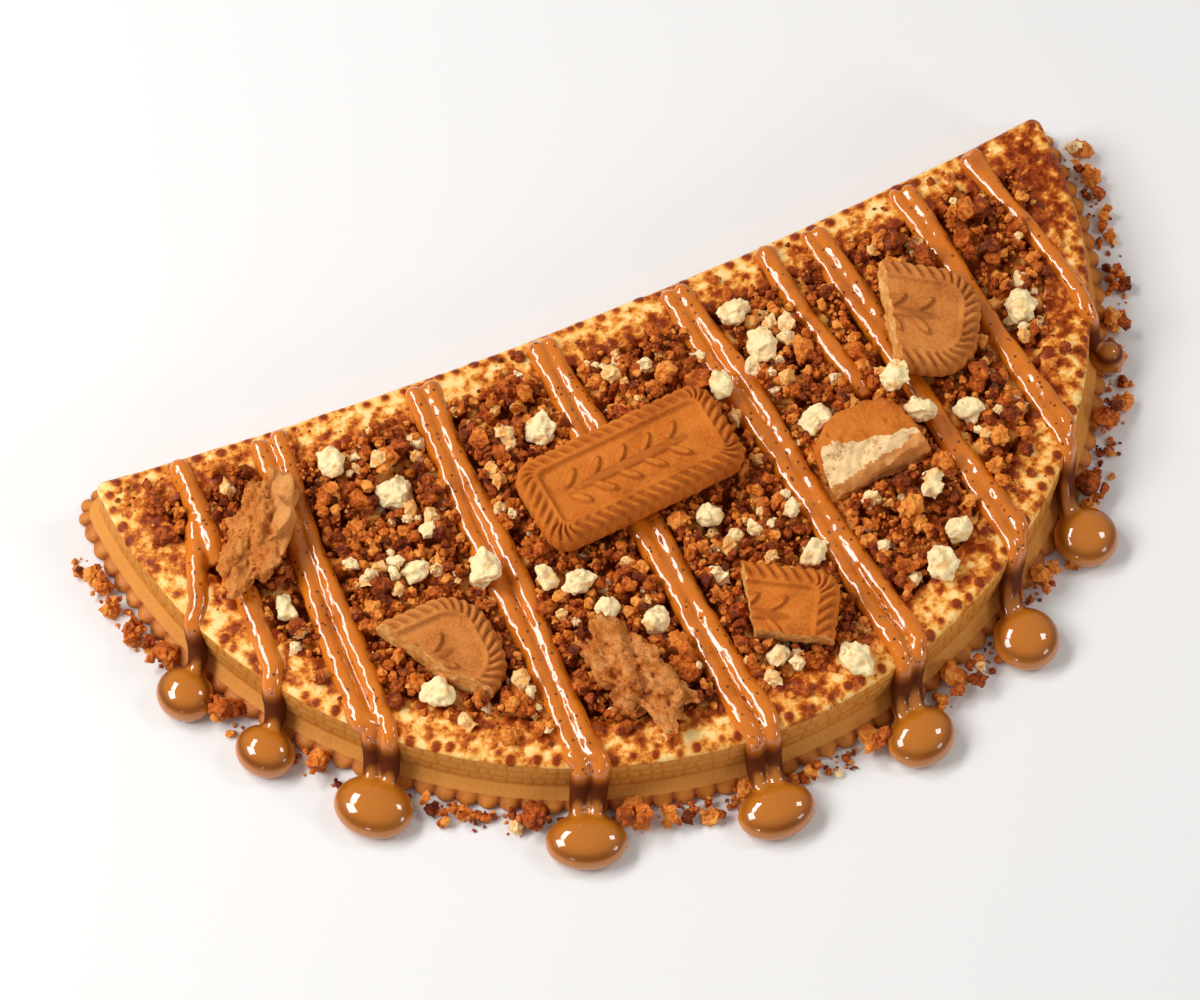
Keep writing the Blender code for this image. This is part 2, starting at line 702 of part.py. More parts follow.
def main():
    clear_scene()
    crust = material("crust", CRUST, 0.55)
    baked = material("biscuit", BISCUIT, 0.75)
    cream = material("cream", CREAM, 0.60)
    waffle = waffle_core(crust)
    join_all(waffle, caramel() + crumbs())
    waffle.data.materials.clear()
    waffle.data.materials.append(crust)

    ground = bmesh.new()
    ground.from_mesh(waffle.data)
    settled = [BVHTree.FromBMesh(ground)]
    ground.free()
    place_biscuits(settled, baked)
    place_chunks(settled, cream)

    middle = bpy.data.objects.new("edge_middle", None)
    bpy.context.collection.objects.link(middle)
    middle.location = (*EDGE_MIDDLE, 0.0)
    for thing in list(bpy.data.objects):
        if thing.type == "MESH":
            thing.parent = middle


main()
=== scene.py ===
# Half of a large round waffle under caramel, with caramelised biscuits, cream chunks and
# biscuit crumbs: the looks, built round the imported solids. Metres, +Z up. The straight
# edge lies along X at the back, and the arc bulges towards -Y.

import math
import random

import bmesh
import bpy
import numpy as np
from mathutils import Euler, Matrix, Vector, noise
from mathutils.bvhtree import BVHTree


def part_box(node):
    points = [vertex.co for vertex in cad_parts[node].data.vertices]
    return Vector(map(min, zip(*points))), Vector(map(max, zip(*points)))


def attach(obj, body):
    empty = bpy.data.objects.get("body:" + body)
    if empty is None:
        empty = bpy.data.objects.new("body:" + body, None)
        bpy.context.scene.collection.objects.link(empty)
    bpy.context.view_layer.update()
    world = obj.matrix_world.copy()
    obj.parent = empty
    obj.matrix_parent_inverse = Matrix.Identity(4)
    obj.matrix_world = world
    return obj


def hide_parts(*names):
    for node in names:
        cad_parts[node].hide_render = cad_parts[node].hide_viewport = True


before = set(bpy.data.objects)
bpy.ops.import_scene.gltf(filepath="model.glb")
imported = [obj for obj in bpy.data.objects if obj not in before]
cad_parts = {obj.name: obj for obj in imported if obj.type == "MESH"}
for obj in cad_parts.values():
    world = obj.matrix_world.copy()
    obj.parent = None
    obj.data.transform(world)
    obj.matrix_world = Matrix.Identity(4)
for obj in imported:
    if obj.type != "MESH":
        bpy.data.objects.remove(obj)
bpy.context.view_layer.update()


# Camera, floor and light.
# A long lens looks down over the arc from the left. Softboxes behind the waffle and at its
# left lay the long white gleams on the caramel. Small ones in front make the square
# highlights on its drops.

# Places on the waffle are measured from the middle of its straight edge.
EDGE_MIDDLE = Vector((0.0004, 0.0757, 0.0))
CAMERA_PLACE = EDGE_MIDDLE + Vector((-0.2572, -0.5897, 1.1573))
CAMERA_TARGET = EDGE_MIDDLE + Vector((-0.0149, -0.0499, 0.0))
CAMERA_LENS = 150.0
FLOOR_COLOUR = (0.80, 0.79, 0.78, 1.0)
FLOOR_SIZE = 6.0
SKY_COLOUR = (1.0, 0.98, 0.96, 1.0)
SKY_STRENGTH = 0.30
# Softboxes: place, width, depth, power
SOFTBOXES = (
    ((-0.55, 0.75, 1.10), 0.60, 0.30, 8.0),
    ((-0.86, 0.26, 0.79), 0.48, 0.42, 8.5),
    ((0.72, -0.84, 0.42), 0.25, 0.25, 2.5),
    ((-0.84, -0.78, 0.24), 0.15, 0.15, 1.0),
    ((0.84, -0.13, 0.85), 0.26, 0.26, 2.2),
)


def add_node(tree, kind, inputs=None, **settings):
    """A shader node, with its settings, and its inputs set or linked by name or number."""
    made = tree.nodes.new(kind)
    for key, value in settings.items():
        setattr(made, key, value)
    for key, value in (inputs or {}).items():
        if isinstance(value, bpy.types.NodeSocket):
            tree.links.new(value, made.inputs[key])
        else:
            made.inputs[key].default_value = value
    return made


def new_material(name, **values):
    """A material and its Principled shader, whose even values are set on the sockets."""
    made = bpy.data.materials.new(name)
    made.use_nodes = True
    shader = made.node_tree.nodes["Principled BSDF"]
    for key, value in values.items():
        shader.inputs[key.replace("_", " ")].default_value = value
    return made, made.node_tree, shader


def loose_object(name, bm):
    """A mesh object made from a bmesh, which is freed."""
    mesh = bpy.data.meshes.new(name)
    bm.to_mesh(mesh)
    bm.free()
    thing = bpy.data.objects.new(name, mesh)
    bpy.context.collection.objects.link(thing)
    return thing


def aim(thing, target):
    """Point a camera or lamp at a place."""
    thing.rotation_euler = (Vector(target) - thing.location).to_track_quat("-Z", "Y").to_euler()


camera = bpy.data.objects.new("camera", bpy.data.cameras.new("camera"))
bpy.context.collection.objects.link(camera)
camera.data.lens = CAMERA_LENS
camera.data.clip_end = 20.0
camera.location = CAMERA_PLACE
aim(camera, CAMERA_TARGET)
bpy.context.scene.camera = camera

for number, (place, width, depth, power) in enumerate(SOFTBOXES, start=1):
    lamp = bpy.data.lights.new(f"softbox_{number}", "AREA")
    lamp.shape = "RECTANGLE"
    lamp.size = width
    lamp.size_y = depth
    lamp.energy = power
    softbox = bpy.data.objects.new(f"softbox_{number}", lamp)
    bpy.context.collection.objects.link(softbox)
    softbox.location = place
    aim(softbox, (0.0, 0.0, 0.0))

bpy.context.scene.view_settings.view_transform = "Standard"
sky = bpy.data.worlds.new("studio")
bpy.context.scene.world = sky
sky.use_nodes = True
sky.node_tree.nodes["Background"].inputs["Color"].default_value = SKY_COLOUR
sky.node_tree.nodes["Background"].inputs["Strength"].default_value = SKY_STRENGTH

sheet = bmesh.new()
bmesh.ops.create_grid(sheet, x_segments=1, y_segments=1, size=FLOOR_SIZE / 2)
floor = loose_object("floor", sheet)
paper, paper_tree, paper_shader = new_material("floor_paper", Roughness=0.8)
paper_shader.inputs["Base Color"].default_value = FLOOR_COLOUR
floor.data.materials.append(paper)


# Rim and wall.
# The baked waffle is closed all round by a raised rim. The iron pressed two courses of
# bricks into its wall, a pale band of tiny pits below them, and a foot of round beads.
# The rim is toasted to dark red-brown bumps along both its edges.

RADIUS = 0.135
HOLLOW = 0.0075
TIP_RADIUS = 0.0025
RIM_WIDTH = 0.0125
FIELD_CORNER_RADIUS = 0.0165
TIP_SCALLOPS = 3
BACK_SCALLOPS = 48
ARC_SCALLOPS = 78
SCALLOP_STEPS = 12
RING_SIZE = (2 * TIP_SCALLOPS + BACK_SCALLOPS + ARC_SCALLOPS) * SCALLOP_STEPS
# Foot: how far it stands out from the top edge, height, depth of the beads
FOOT_PROFILE = (
    (0.0038, 0.0000, 0.0004), (0.0042, 0.0003, 0.0012), (0.0045, 0.0009, 0.0016),
    (0.0044, 0.0016, 0.0016), (0.0038, 0.0023, 0.0012), (0.0032, 0.0028, 0.0005),
)
# Pale band above it: how far out, height, and whether it has the pits
BAND_PROFILE = (
    (0.0029, 0.0031, 0), (0.0022, 0.0036, 0), (0.0015, 0.0041, 1), (0.0010, 0.0045, 0),
    (0.0006, 0.0049, 0),
)
PIT_EVERY = 4
PIT_DEPTH = 0.00018
BRICK_COURSES = 3
BRICK_SPAN = (0.0052, 0.0156)
BRICK_REACH = (0.0003, 0.0001)
BRICK_RELIEF = 0.00013
# Rows of a course: share of its height, and how much of a line lies there
BRICK_ROWS = ((0.0, 1.0), (0.09, 0.9), (0.19, 0.0), (0.5, 0.0), (0.81, 0.0), (0.91, 0.6))
BRICK_STEPS = (6, 13)
BRICK_JOINT_STEPS = 2
LEDGE_TOAST = 0.8
# Rounded top edge: how far out, height
EDGE_PROFILE = ((0.0, 0.0158), (-0.0004, 0.0164), (-0.0010, 0.0168))
# Top: where it starts, how much of the rim's width its edges take, width of a row
TOP_START = -0.0017
TOP_EDGES = 0.0024
TOP_STEP = 0.00060
TOP_HEIGHT = 0.0170
TOP_CROWN = 0.0006
INNER_PROFILE = (
    (-0.0122, 0.0168), (-0.0127, 0.0161), (-0.0131, 0.0148), (-0.0134, 0.0125),
    (-0.0136, 0.0095), (-0.0136, 0.0050), (-0.0136, 0.0000),
)
INNER_LOBE = 0.0006
INNER_TOAST_REACH = -0.0114
INNER_TOAST = 0.25
# Toasted bumps on the rim: how far in from the top edge, how many round, radius
BUMP_LINES = ((-0.0017, 132, 0.0017), (-0.0106, 132, 0.0022))
BUMP_HEIGHT = 0.0009
BUMP_ALONG = (0.3, 0.7)
BUMP_DARKNESS = (0.42, 1.0)
BUMP_SHIFT = 0.0004
BUMP_SWELL = (0.60, 0.45)
CORE_TOAST = (1.5, 0.80)
HALO_SIZE = 3.4
HALO_TOAST = 0.34
RIM_BROWNING = 0.10
INNER_BROWNING = 0.44
FRONT_BROWNING = 0.15
# Left tip, right tip
TIP_BROWNING = (0.114, 0.38)
TIP_START = 0.100
RIM_ROUGHNESS = ((0.012, 0.00028), (0.003, 0.00007))
# Sizes of the crust's patches and of its grain
LARGE_PATCHES = (0.016, 0.0016)
SMALL_PATCHES = (0.0036, 0.0005)
# Pin pricks: size of their cells, share of a cell, share of the cells that have one
PIN_PRICKS = (0.0034, 0.10, 0.55)
# How much the large and the small patches brown the top, the bumps and the brick lines
TOP_PATCHES = (1.1, 2.6)
BUMP_PATCHES = 0.8
LINE_TOAST = 0.8
LINE_PATCHES = (1.6, 1.6)
BAND_TOAST = 0.7
# Darkening of the foot: all over, on the beads, in patches; painted shade in the creases between
# the beads, and browning in the patches
FOOT_BROWNING_AND_SHADE = (0.95, -0.65, 1.2)
PRICK_SHADE = 0.85
CRUST_GRAIN_DEPTH = 0.00016
# Browning at which the crust would be matt and glossy
CRUST_GLOSS = (1.5, -0.6)

CRUST_CREAM = (0.97, 0.67, 0.27, 1.0)
CRUST_YELLOW = (0.92, 0.48, 0.115, 1.0)
CRUST_GOLD = (0.76, 0.27, 0.034, 1.0)
CRUST_ORANGE = (0.52, 0.120, 0.011, 1.0)
CRUST_BROWN = (0.28, 0.040, 0.003, 1.0)
CRUST_DARK = (0.15, 0.018, 0.002, 1.0)
WALL_TAN = (0.64, 0.262, 0.050, 1.0)
WALL_LINE = (0.60, 0.200, 0.022, 1.0)
BAND_TAN = (0.65, 0.265, 0.050, 1.0)
FOOT_GOLD = (0.70, 0.260, 0.042, 1.0)
FOOT_BROWN = (0.28, 0.052, 0.007, 1.0)
PIN_PRICK = (0.09, 0.025, 0.008, 1.0)
# Top of the crust: how brown, and its colour
CRUST_TOASTING = (
    (0.0, CRUST_CREAM), (0.17, CRUST_YELLOW), (0.34, CRUST_GOLD), (0.50, CRUST_ORANGE),
    (0.72, CRUST_BROWN), (1.0, CRUST_DARK),
)


def sections(tip):
    """The half moon's four curves, counter-clockwise: centre, radius, first and last angle,
    scallops and side, which is -1 where the curve is hollow."""
    far = (RADIUS ** 2 + HOLLOW ** 2) / (2 * HOLLOW)
    rise = far - HOLLOW
    y = ((RADIUS - tip) ** 2 - (far + tip) ** 2 + rise ** 2) / (2 * rise)
    x = math.sqrt((RADIUS - tip) ** 2 - y ** 2)
    arc_end = math.atan2(y, x)
    tip_end = math.atan2(rise - y, -x)
    back = math.atan2(y - rise, x)
    return (
        (Vector((x, y)), tip, arc_end, tip_end, TIP_SCALLOPS, 1),
        (Vector((0.0, rise)), far, back, -math.pi - back, BACK_SCALLOPS, -1),
        (Vector((-x, y)), tip, math.pi - tip_end, math.pi - arc_end, TIP_SCALLOPS, 1),
        (Vector((0.0, 0.0)), RADIUS, math.pi - arc_end, 2 * math.pi + arc_end, ARC_SCALLOPS, 1),
    )


def outline(extra, reach, height):
    """A ring round the half moon, where the extra adds to its reach at each step."""
    inward = min(1.0, max(0.0, -reach / RIM_WIDTH))
    tip = TIP_RADIUS + (FIELD_CORNER_RADIUS - TIP_RADIUS) * inward
    points = []
    for centre, radius, start, end, scallops, side in sections(tip):
        for i in range(scallops * SCALLOP_STEPS):
            angle = start + (end - start) * i / (scallops * SCALLOP_STEPS)
            total = float(radius + side * (reach + extra[len(points)]))
            place = centre + total * Vector((math.cos(angle), math.sin(angle)))
            points.append((*place, height))
    return points


def wrap_sheet(rings):
    """A grid wrapped round through the rings, one row for each, and merged at its seam."""
    bm = bmesh.new()
    across = len(rings[0])
    bmesh.ops.create_grid(bm, x_segments=across, y_segments=len(rings) - 1, size=1.0)
    bm.verts.ensure_lookup_table()
    for row, points in enumerate(rings):
        for i in range(across + 1):
            bm.verts[row * (across + 1) + i].co = points[i % across]
    return bm


def roughen(bm, waves, pits=()):
    """Move the surface in and out by noise, as pairs of wave length and depth, and press
    pits with sharp ridges between them, as pairs of pit size and depth."""
    bm.normal_update()
    moves = []
    for vert in bm.verts:
        push = sum(depth * noise.noise(vert.co / size) for size, depth in waves)
        for size, depth in pits:
            push += depth * (noise.voronoi(vert.co / size)[0][0] - 0.5)
        moves.append(vert.normal * push)
    for vert, move in zip(bm.verts, moves):
        vert.co += move


def add_piece(name, bm, finish, at=EDGE_MIDDLE):
    """Turn a bmesh into a smooth piece of the object that rides on its one body."""
    bmesh.ops.translate(bm, vec=at, verts=bm.verts)
    piece = loose_object(name, bm)
    piece.data.shade_smooth()
    piece.data.materials.append(finish)
    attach(piece, "root")
    return piece


def chance(*numbers):
    """An even spread of values from 0 to 1 that depends on the numbers alone."""
    mixed = sum(number * factor for number, factor in zip(numbers, (12.9898, 78.233, 37.719)))
    return np.abs(np.sin(mixed) * 43758.5453) % 1.0


around = np.arange(RING_SIZE)
even = np.zeros(RING_SIZE)


def bump_places():
    """Each toasted bump of the rim: x, y, radius and how dark it is."""
    draw = random.Random(3)
    places = []
    for line, count, radius in BUMP_LINES:
        points = np.array(outline(even, line, 0.0))[:, :2]
        lengths = np.hypot(*(np.roll(points, -1, axis=0) - points).T)
        along = np.cumsum(lengths)
        for number in range(count):
            goal = (number + draw.uniform(*BUMP_ALONG)) / count * along[-1]
            x, y = points[np.searchsorted(along, goal)]
            dark = draw.uniform(*BUMP_DARKNESS)
            places.append((x + draw.gauss(0.0, BUMP_SHIFT), y + draw.gauss(0.0, BUMP_SHIFT),
                           radius * (BUMP_SWELL[0] + BUMP_SWELL[1] * dark), dark))
    return np.array(places)


def rim_bumps(reach):
    """The domes of the bumps, and the toasting on and round them, at each step of a ring."""
    points = np.array(outline(even, reach, 0.0))[:, None, :2]
    gone = ((points - rim_spots[None, :, :2]) ** 2).sum(axis=2) / rim_spots[:, 2] ** 2
    dome = (rim_spots[:, 3] * np.clip(1.0 - gone, 0.0, 1.0)).max(axis=1)
    core = np.clip(CORE_TOAST[0] * rim_spots[:, 3] * (1.0 - gone), 0.0, CORE_TOAST[1])
    core = core.max(axis=1)
    halo = (HALO_TOAST * np.clip(1.0 - gone / HALO_SIZE, 0.0, 1.0)).max(axis=1)
    return dome, np.maximum(core, halo)


rim_spots = bump_places()


def browning(points, reach):
    """How brown each step of a ring is: most towards the field, in front and at the tips."""
    inward = min(1.0, max(0.0, -reach / RIM_WIDTH)) ** 1.2
    values = []
    for x, y, _ in points:
        tip = min(1.0, max(0.0, (abs(x) - TIP_START) / (RADIUS - TIP_START)))
        tip *= TIP_BROWNING[0] if x < 0 else TIP_BROWNING[1]
        front = FRONT_BROWNING * y / RADIUS
        values.append(RIM_BROWNING + INNER_BROWNING * inward - front + tip)
    return np.array(values)


def brick_joints(course):
    """1 at the steps where two bricks of a course meet, and 0 elsewhere."""
    draw = random.Random(course)
    joints = np.zeros(RING_SIZE)
    at = 0
    while at < RING_SIZE:
        joints[at:at + BRICK_JOINT_STEPS] = 1.0
        at += draw.randint(*BRICK_STEPS)
    return joints


rings = []
toast_rows = []
lift_rows = []
zone_rows = []
brown_rows = []


def add_ring(reach, height, extra=even, toast=even, lift=even, zone=0.0):
    rings.append(outline(extra, reach, height))
    toast_rows.append(toast)
    lift_rows.append(lift)
    zone_rows.append(zone)
    brown_rows.append(browning(rings[-1], reach))


# Zone of each ring, which the crust's colours follow: 0 rim, 1 wall, 2 band, 3 foot
bead = np.sin(np.pi * (around % SCALLOP_STEPS) / SCALLOP_STEPS) ** 0.8
band_pits = np.where(around % PIT_EVERY == 0, 1.0, 0.0)
for reach, height, depth in FOOT_PROFILE:
    add_ring(reach, height, extra=depth * bead, toast=bead, zone=3.0)
for reach, height, pitted in BAND_PROFILE:
    pressed = pitted * band_pits
    add_ring(reach, height, extra=-PIT_DEPTH * pressed, toast=pressed, zone=2.0)
for course in range(BRICK_COURSES):
    joints = brick_joints(course)
    for row, line in BRICK_ROWS:
        share = (course + row) / BRICK_COURSES
        reach = BRICK_REACH[0] + (BRICK_REACH[1] - BRICK_REACH[0]) * share
        height = BRICK_SPAN[0] + (BRICK_SPAN[1] - BRICK_SPAN[0]) * share
        lines = np.maximum(joints * (1.0 - line), line)
        add_ring(reach, height, extra=-BRICK_RELIEF * lines, toast=lines, zone=1.0)
add_ring(BRICK_REACH[1], BRICK_SPAN[1], extra=even - BRICK_RELIEF, toast=even + LEDGE_TOAST,
         zone=1.0)
for reach, height in EDGE_PROFILE:
    dome, toasted = rim_bumps(reach)
    add_ring(reach, height, extra=0.5 * BUMP_HEIGHT * dome, toast=toasted)
steps = round((RIM_WIDTH - TOP_EDGES) / TOP_STEP)
for step in range(steps + 1):
    reach = TOP_START - step * TOP_STEP
    height = TOP_HEIGHT + TOP_CROWN * math.sin(math.pi * step / steps)
    dome, toasted = rim_bumps(reach)
    add_ring(reach, height, toast=toasted, lift=dome)
inner_lobes = INNER_LOBE * np.cos(around * BUMP_LINES[1][1] * math.tau / RING_SIZE)
inner_toast = rim_bumps(INNER_TOAST_REACH)[1] + INNER_TOAST
for reach, height in INNER_PROFILE:
    add_ring(reach, height, extra=inner_lobes, toast=inner_toast)
for rows in (rings, toast_rows, lift_rows, zone_rows, brown_rows):
    rows.append(rows[0])

rim = wrap_sheet(rings)
toast_layer = rim.verts.layers.float.new("toast")
zone_layer = rim.verts.layers.float.new("zone")
brown_layer = rim.verts.layers.float.new("brown")
rim.verts.ensure_lookup_table()
for number, vert in enumerate(rim.verts):
    row, i = divmod(number, RING_SIZE + 1)
    vert[toast_layer] = toast_rows[row][i % RING_SIZE]
    vert[zone_layer] = zone_rows[row]
    vert[brown_layer] = brown_rows[row][i % RING_SIZE]
    vert.co.z += BUMP_HEIGHT * lift_rows[row][i % RING_SIZE]
bmesh.ops.remove_doubles(rim, verts=rim.verts, dist=0.000002)
bmesh.ops.recalc_face_normals(rim, faces=rim.faces)
roughen(rim, RIM_ROUGHNESS)
for vert in rim.verts:
    vert.co.z = max(0.0, vert.co.z)


def blend(tree, factor, first, second):
    """One colour turning into another."""
    mixed = add_node(tree, "ShaderNodeMix", {0: factor, 6: first, 7: second}, data_type="RGBA")
    return mixed.outputs[2]


def maths(tree, operation, first, second):
    """One operation on two values."""
    return add_node(tree, "ShaderNodeMath", {0: first, 1: second}, operation=operation).outputs[0]


def times(tree, first, second):
    """One value times another."""
    return maths(tree, "MULTIPLY", first, second)


def weighted(tree, start, *parts):
    """A start plus each value times its weight."""
    total = start
    for value, weight in parts:
        total = maths(tree, "ADD", total, times(tree, value, weight))
    return total


def between(tree, value, low, high):
    """The value's way from low to high, eased and kept within 0 and 1."""
    made = add_node(tree, "ShaderNodeMapRange",
                    {"Value": value, "From Min": low, "From Max": high},
                    interpolation_type="SMOOTHSTEP")
    return made.outputs["Result"]


def colour_ramp(tree, factor, stops):
    """Colours along the factor, as pairs of place and colour."""
    ramp = add_node(tree, "ShaderNodeValToRGB", {"Fac": factor})
    elements = ramp.color_ramp.elements
    while len(elements) < len(stops):
        elements.new(0.5)
    for element, (position, colour) in zip(elements, stops):
        element.position = position
        element.color = colour
    return ramp.outputs["Color"]


def object_place(tree):
    """The place on the object, which the patterns follow."""
    return add_node(tree, "ShaderNodeTexCoord").outputs["Object"]


def attribute(tree, name):
    """A value that the mesh holds at its corners."""
    return add_node(tree, "ShaderNodeAttribute", attribute_name=name).outputs["Fac"]


def height_of(tree, vector):
    """The upward part of a place or a direction."""
    return add_node(tree, "ShaderNodeSeparateXYZ", {"Vector": vector}).outputs["Z"]


def start_group(name, inputs, outputs):
    """An empty shader group with float inputs, a Place vector and float outputs."""
    group = bpy.data.node_groups.new(name, "ShaderNodeTree")
    group.interface.new_socket("Place", in_out="INPUT", socket_type="NodeSocketVector")
    for label, value in inputs:
        socket = group.interface.new_socket(label, in_out="INPUT", socket_type="NodeSocketFloat")
        socket.default_value = value
    for label in outputs:
        group.interface.new_socket(label, in_out="OUTPUT", socket_type="NodeSocketFloat")
    return group, group.nodes.new("NodeGroupInput"), group.nodes.new("NodeGroupOutput")


# Baked grain: patches of browning, and the fine crumbly surface of dough and biscuit
baked_grain, grain_in, grain_out = start_group(
    "baked_grain", (("Patch Size", 0.012), ("Grain Size", 0.001)), ("Patches", "Grain"))
for label, source, detail in (("Patches", "Patch Size", 3.0), ("Grain", "Grain Size", 4.0)):
    scale = maths(baked_grain, "DIVIDE", 1.0, grain_in.outputs[source])
    made = add_node(baked_grain, "ShaderNodeTexNoise",
                    {"Vector": grain_in.outputs["Place"], "Scale": scale, "Detail": detail,
                     "Roughness": 0.62})
    baked_grain.links.new(made.outputs["Fac"], grain_out.inputs[label])

# Specks: tiny dark dots, one in some of the cells of a given size
specks, specks_in, specks_out = start_group(
    "specks", (("Cell Size", 0.004), ("Dot Share", 0.09), ("Kept", 0.5)), ("Dots",))
scale = maths(specks, "DIVIDE", 1.0, specks_in.outputs["Cell Size"])
cells = add_node(specks, "ShaderNodeTexVoronoi",
                 {"Vector": specks_in.outputs["Place"], "Scale": scale})
tone = add_node(specks, "ShaderNodeSeparateColor", {"Color": cells.outputs["Color"]})
kept = maths(specks, "LESS_THAN", tone.outputs["Red"], specks_in.outputs["Kept"])
dot = maths(specks, "LESS_THAN", cells.outputs["Distance"], specks_in.outputs["Dot Share"])
specks.links.new(maths(specks, "MULTIPLY", kept, dot), specks_out.inputs["Dots"])


def grained(tree, place, sizes):
    """Patches and grain of these sizes."""
    made = add_node(tree, "ShaderNodeGroup",
                    {"Place": place, "Patch Size": sizes[0], "Grain Size": sizes[1]},
                    node_tree=baked_grain)
    return made.outputs["Patches"], made.outputs["Grain"]


def dotted(tree, place, values):
    """Specks of this cell size, share of a cell and share of cells."""
    cell, share, kept = values
    made = add_node(tree, "ShaderNodeGroup",
                    {"Place": place, "Cell Size": cell, "Dot Share": share, "Kept": kept},
                    node_tree=specks)
    return made.outputs["Dots"]


def finish_with(tree, shader, colour, height, depth):
    """Give the shader its colour, and the relief of a height."""
    tree.links.new(colour, shader.inputs["Base Color"])
    relief = add_node(tree, "ShaderNodeBump",
                      {"Height": height, "Distance": depth, "Strength": 1.0})
    tree.links.new(relief.outputs["Normal"], shader.inputs["Normal"])


def crust_material():
    """Baked waffle: cream, browned in patches, dark on the bumps, and redder at the foot, with
    painted shade in the creases between its beads.
    """
    made, tree, shader = new_material("waffle_crust", Specular_IOR_Level=0.15)
    place = object_place(tree)
    toast = attribute(tree, "toast")
    zone = attribute(tree, "zone")
    large, _ = grained(tree, place, LARGE_PATCHES)
    large = maths(tree, "SUBTRACT", large, 0.5)
    small, grain = grained(tree, place, SMALL_PATCHES)
    small = maths(tree, "SUBTRACT", small, 0.5)
    patches = weighted(tree, attribute(tree, "brown"),
                       (small, TOP_PATCHES[1]), (large, TOP_PATCHES[0]))
    brown = maths(tree, "MAXIMUM", patches, weighted(tree, toast, (small, BUMP_PATCHES)))
    lines = weighted(tree, LINE_TOAST, (large, LINE_PATCHES[0]), (small, LINE_PATCHES[1]))
    # The foot is darker towards the creases between its beads as painted shade, and browner in
    # patches
    foot_browning_and_shade = weighted(tree, FOOT_BROWNING_AND_SHADE[0], (toast, FOOT_BROWNING_AND_SHADE[1]), (small, FOOT_BROWNING_AND_SHADE[2]))
    colour = colour_ramp(tree, brown, CRUST_TOASTING)
    wall = blend(tree, times(tree, toast, lines), WALL_TAN, WALL_LINE)
    band = blend(tree, times(tree, toast, BAND_TOAST), BAND_TAN, WALL_LINE)
    foot = blend(tree, foot_browning_and_shade, FOOT_GOLD, FOOT_BROWN)
    for low, high, look in ((0.2, 0.8, wall), (1.2, 1.8, band), (2.1, 2.9, foot)):
        colour = blend(tree, between(tree, zone, low, high), colour, look)
    pricks = times(tree, dotted(tree, place, PIN_PRICKS), maths(tree, "LESS_THAN", zone, 0.5))
    colour = blend(tree, times(tree, pricks, PRICK_SHADE), colour, PIN_PRICK)
    finish_with(tree, shader, colour, maths(tree, "SUBTRACT", grain, pricks), CRUST_GRAIN_DEPTH)
    tree.links.new(between(tree, brown, *CRUST_GLOSS), shader.inputs["Roughness"])
    return made


crust = crust_material()
waffle_rim = add_piece("waffle_rim", rim, crust)
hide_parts("waffle")


# Grid of ribs and pockets inside the rim, on the topped side and on the underside.
# The ribs have fluted sides and a row of toasted bumps along each edge.

RIB_TOP = 0.0162
RIB_WIDTH = 0.0055
GRID_PITCH = 0.0185
FIRST_RIB = -0.0098
TOP_POCKET_DEPTH = (0.0030, 0.0070)
EDGE_POCKET_DEPTH = 0.0045
TOP_POCKET_MARGIN = 0.0145
BOTTOM_POCKET_DEPTH = 0.0045
RIB_SLOPE = 0.0016
RIB_FLUTE = 0.0007
BUMPS_PER_PITCH = 4
RIB_BUMP_RADIUS = 0.0019
RIB_TOAST = 0.26
RIB_BROWNING = 0.22
# Toast of the pockets, darker than the ribs' as painted shade in their depths
POCKET_TOAST_AND_SHADE = 0.55
GRID_CELL = 0.0007
UNDERSIDE_CELL = 0.0012
GRID_BACK = 0.0075
GRID_OVERLAP = 0.0010
GRID_ROUGHNESS = ((0.006, 0.0003), (0.0022, 0.00012))


def margin_of(x, y):
    """How far inside the half moon's outline a place lies."""
    back_edge = -HOLLOW * (1 - (x / RADIUS) ** 2)
    return np.minimum(RADIUS - np.hypot(x, y), back_edge - y)


def pocket_depths():
    """Depth of each pocket by its row and column; those that the rim crosses are alike."""
    draw = random.Random(5)
    count = round(RADIUS / GRID_PITCH)
    depths = np.full((count, 2 * count), EDGE_POCKET_DEPTH)
    for row in range(count):
        for column in range(-count, count):
            x = (column + 0.5) * GRID_PITCH
            y = FIRST_RIB - (row + 0.5) * GRID_PITCH
            if margin_of(x, y) > TOP_POCKET_MARGIN:
                depths[row, column + count] = draw.uniform(*TOP_POCKET_DEPTH)
    return depths


POCKETS = pocket_depths()


def ribs_at(x, y, flute):
    """Share of a rib at a place, and the share of a toasted bump on a rib's edge."""
    share = np.zeros_like(x)
    bumps = np.zeros_like(x)
    step = GRID_PITCH / BUMPS_PER_PITCH
    for across, along, kind in ((x, y - FIRST_RIB, 1.0), (y - FIRST_RIB, x, 2.0)):
        off = np.abs(across - np.round(across / GRID_PITCH) * GRID_PITCH)
        wave = flute * np.cos(math.tau * along / step)
        rise = np.clip((RIB_WIDTH / 2 + wave - off) / RIB_SLOPE + 0.5, 0.0, 1.0)
        share = np.maximum(share, rise * rise * (3 - 2 * rise))
        number = np.round(along / step)
        size = 0.2 + chance(number, np.round(across / GRID_PITCH), kind)
        gone = (off - RIB_WIDTH / 2 + 0.0006) ** 2 + (along - number * step) ** 2
        dome = np.clip(1.0 - gone / RIB_BUMP_RADIUS ** 2, 0.0, 1.0)
        bumps = np.maximum(bumps, size * dome)
    return share, bumps


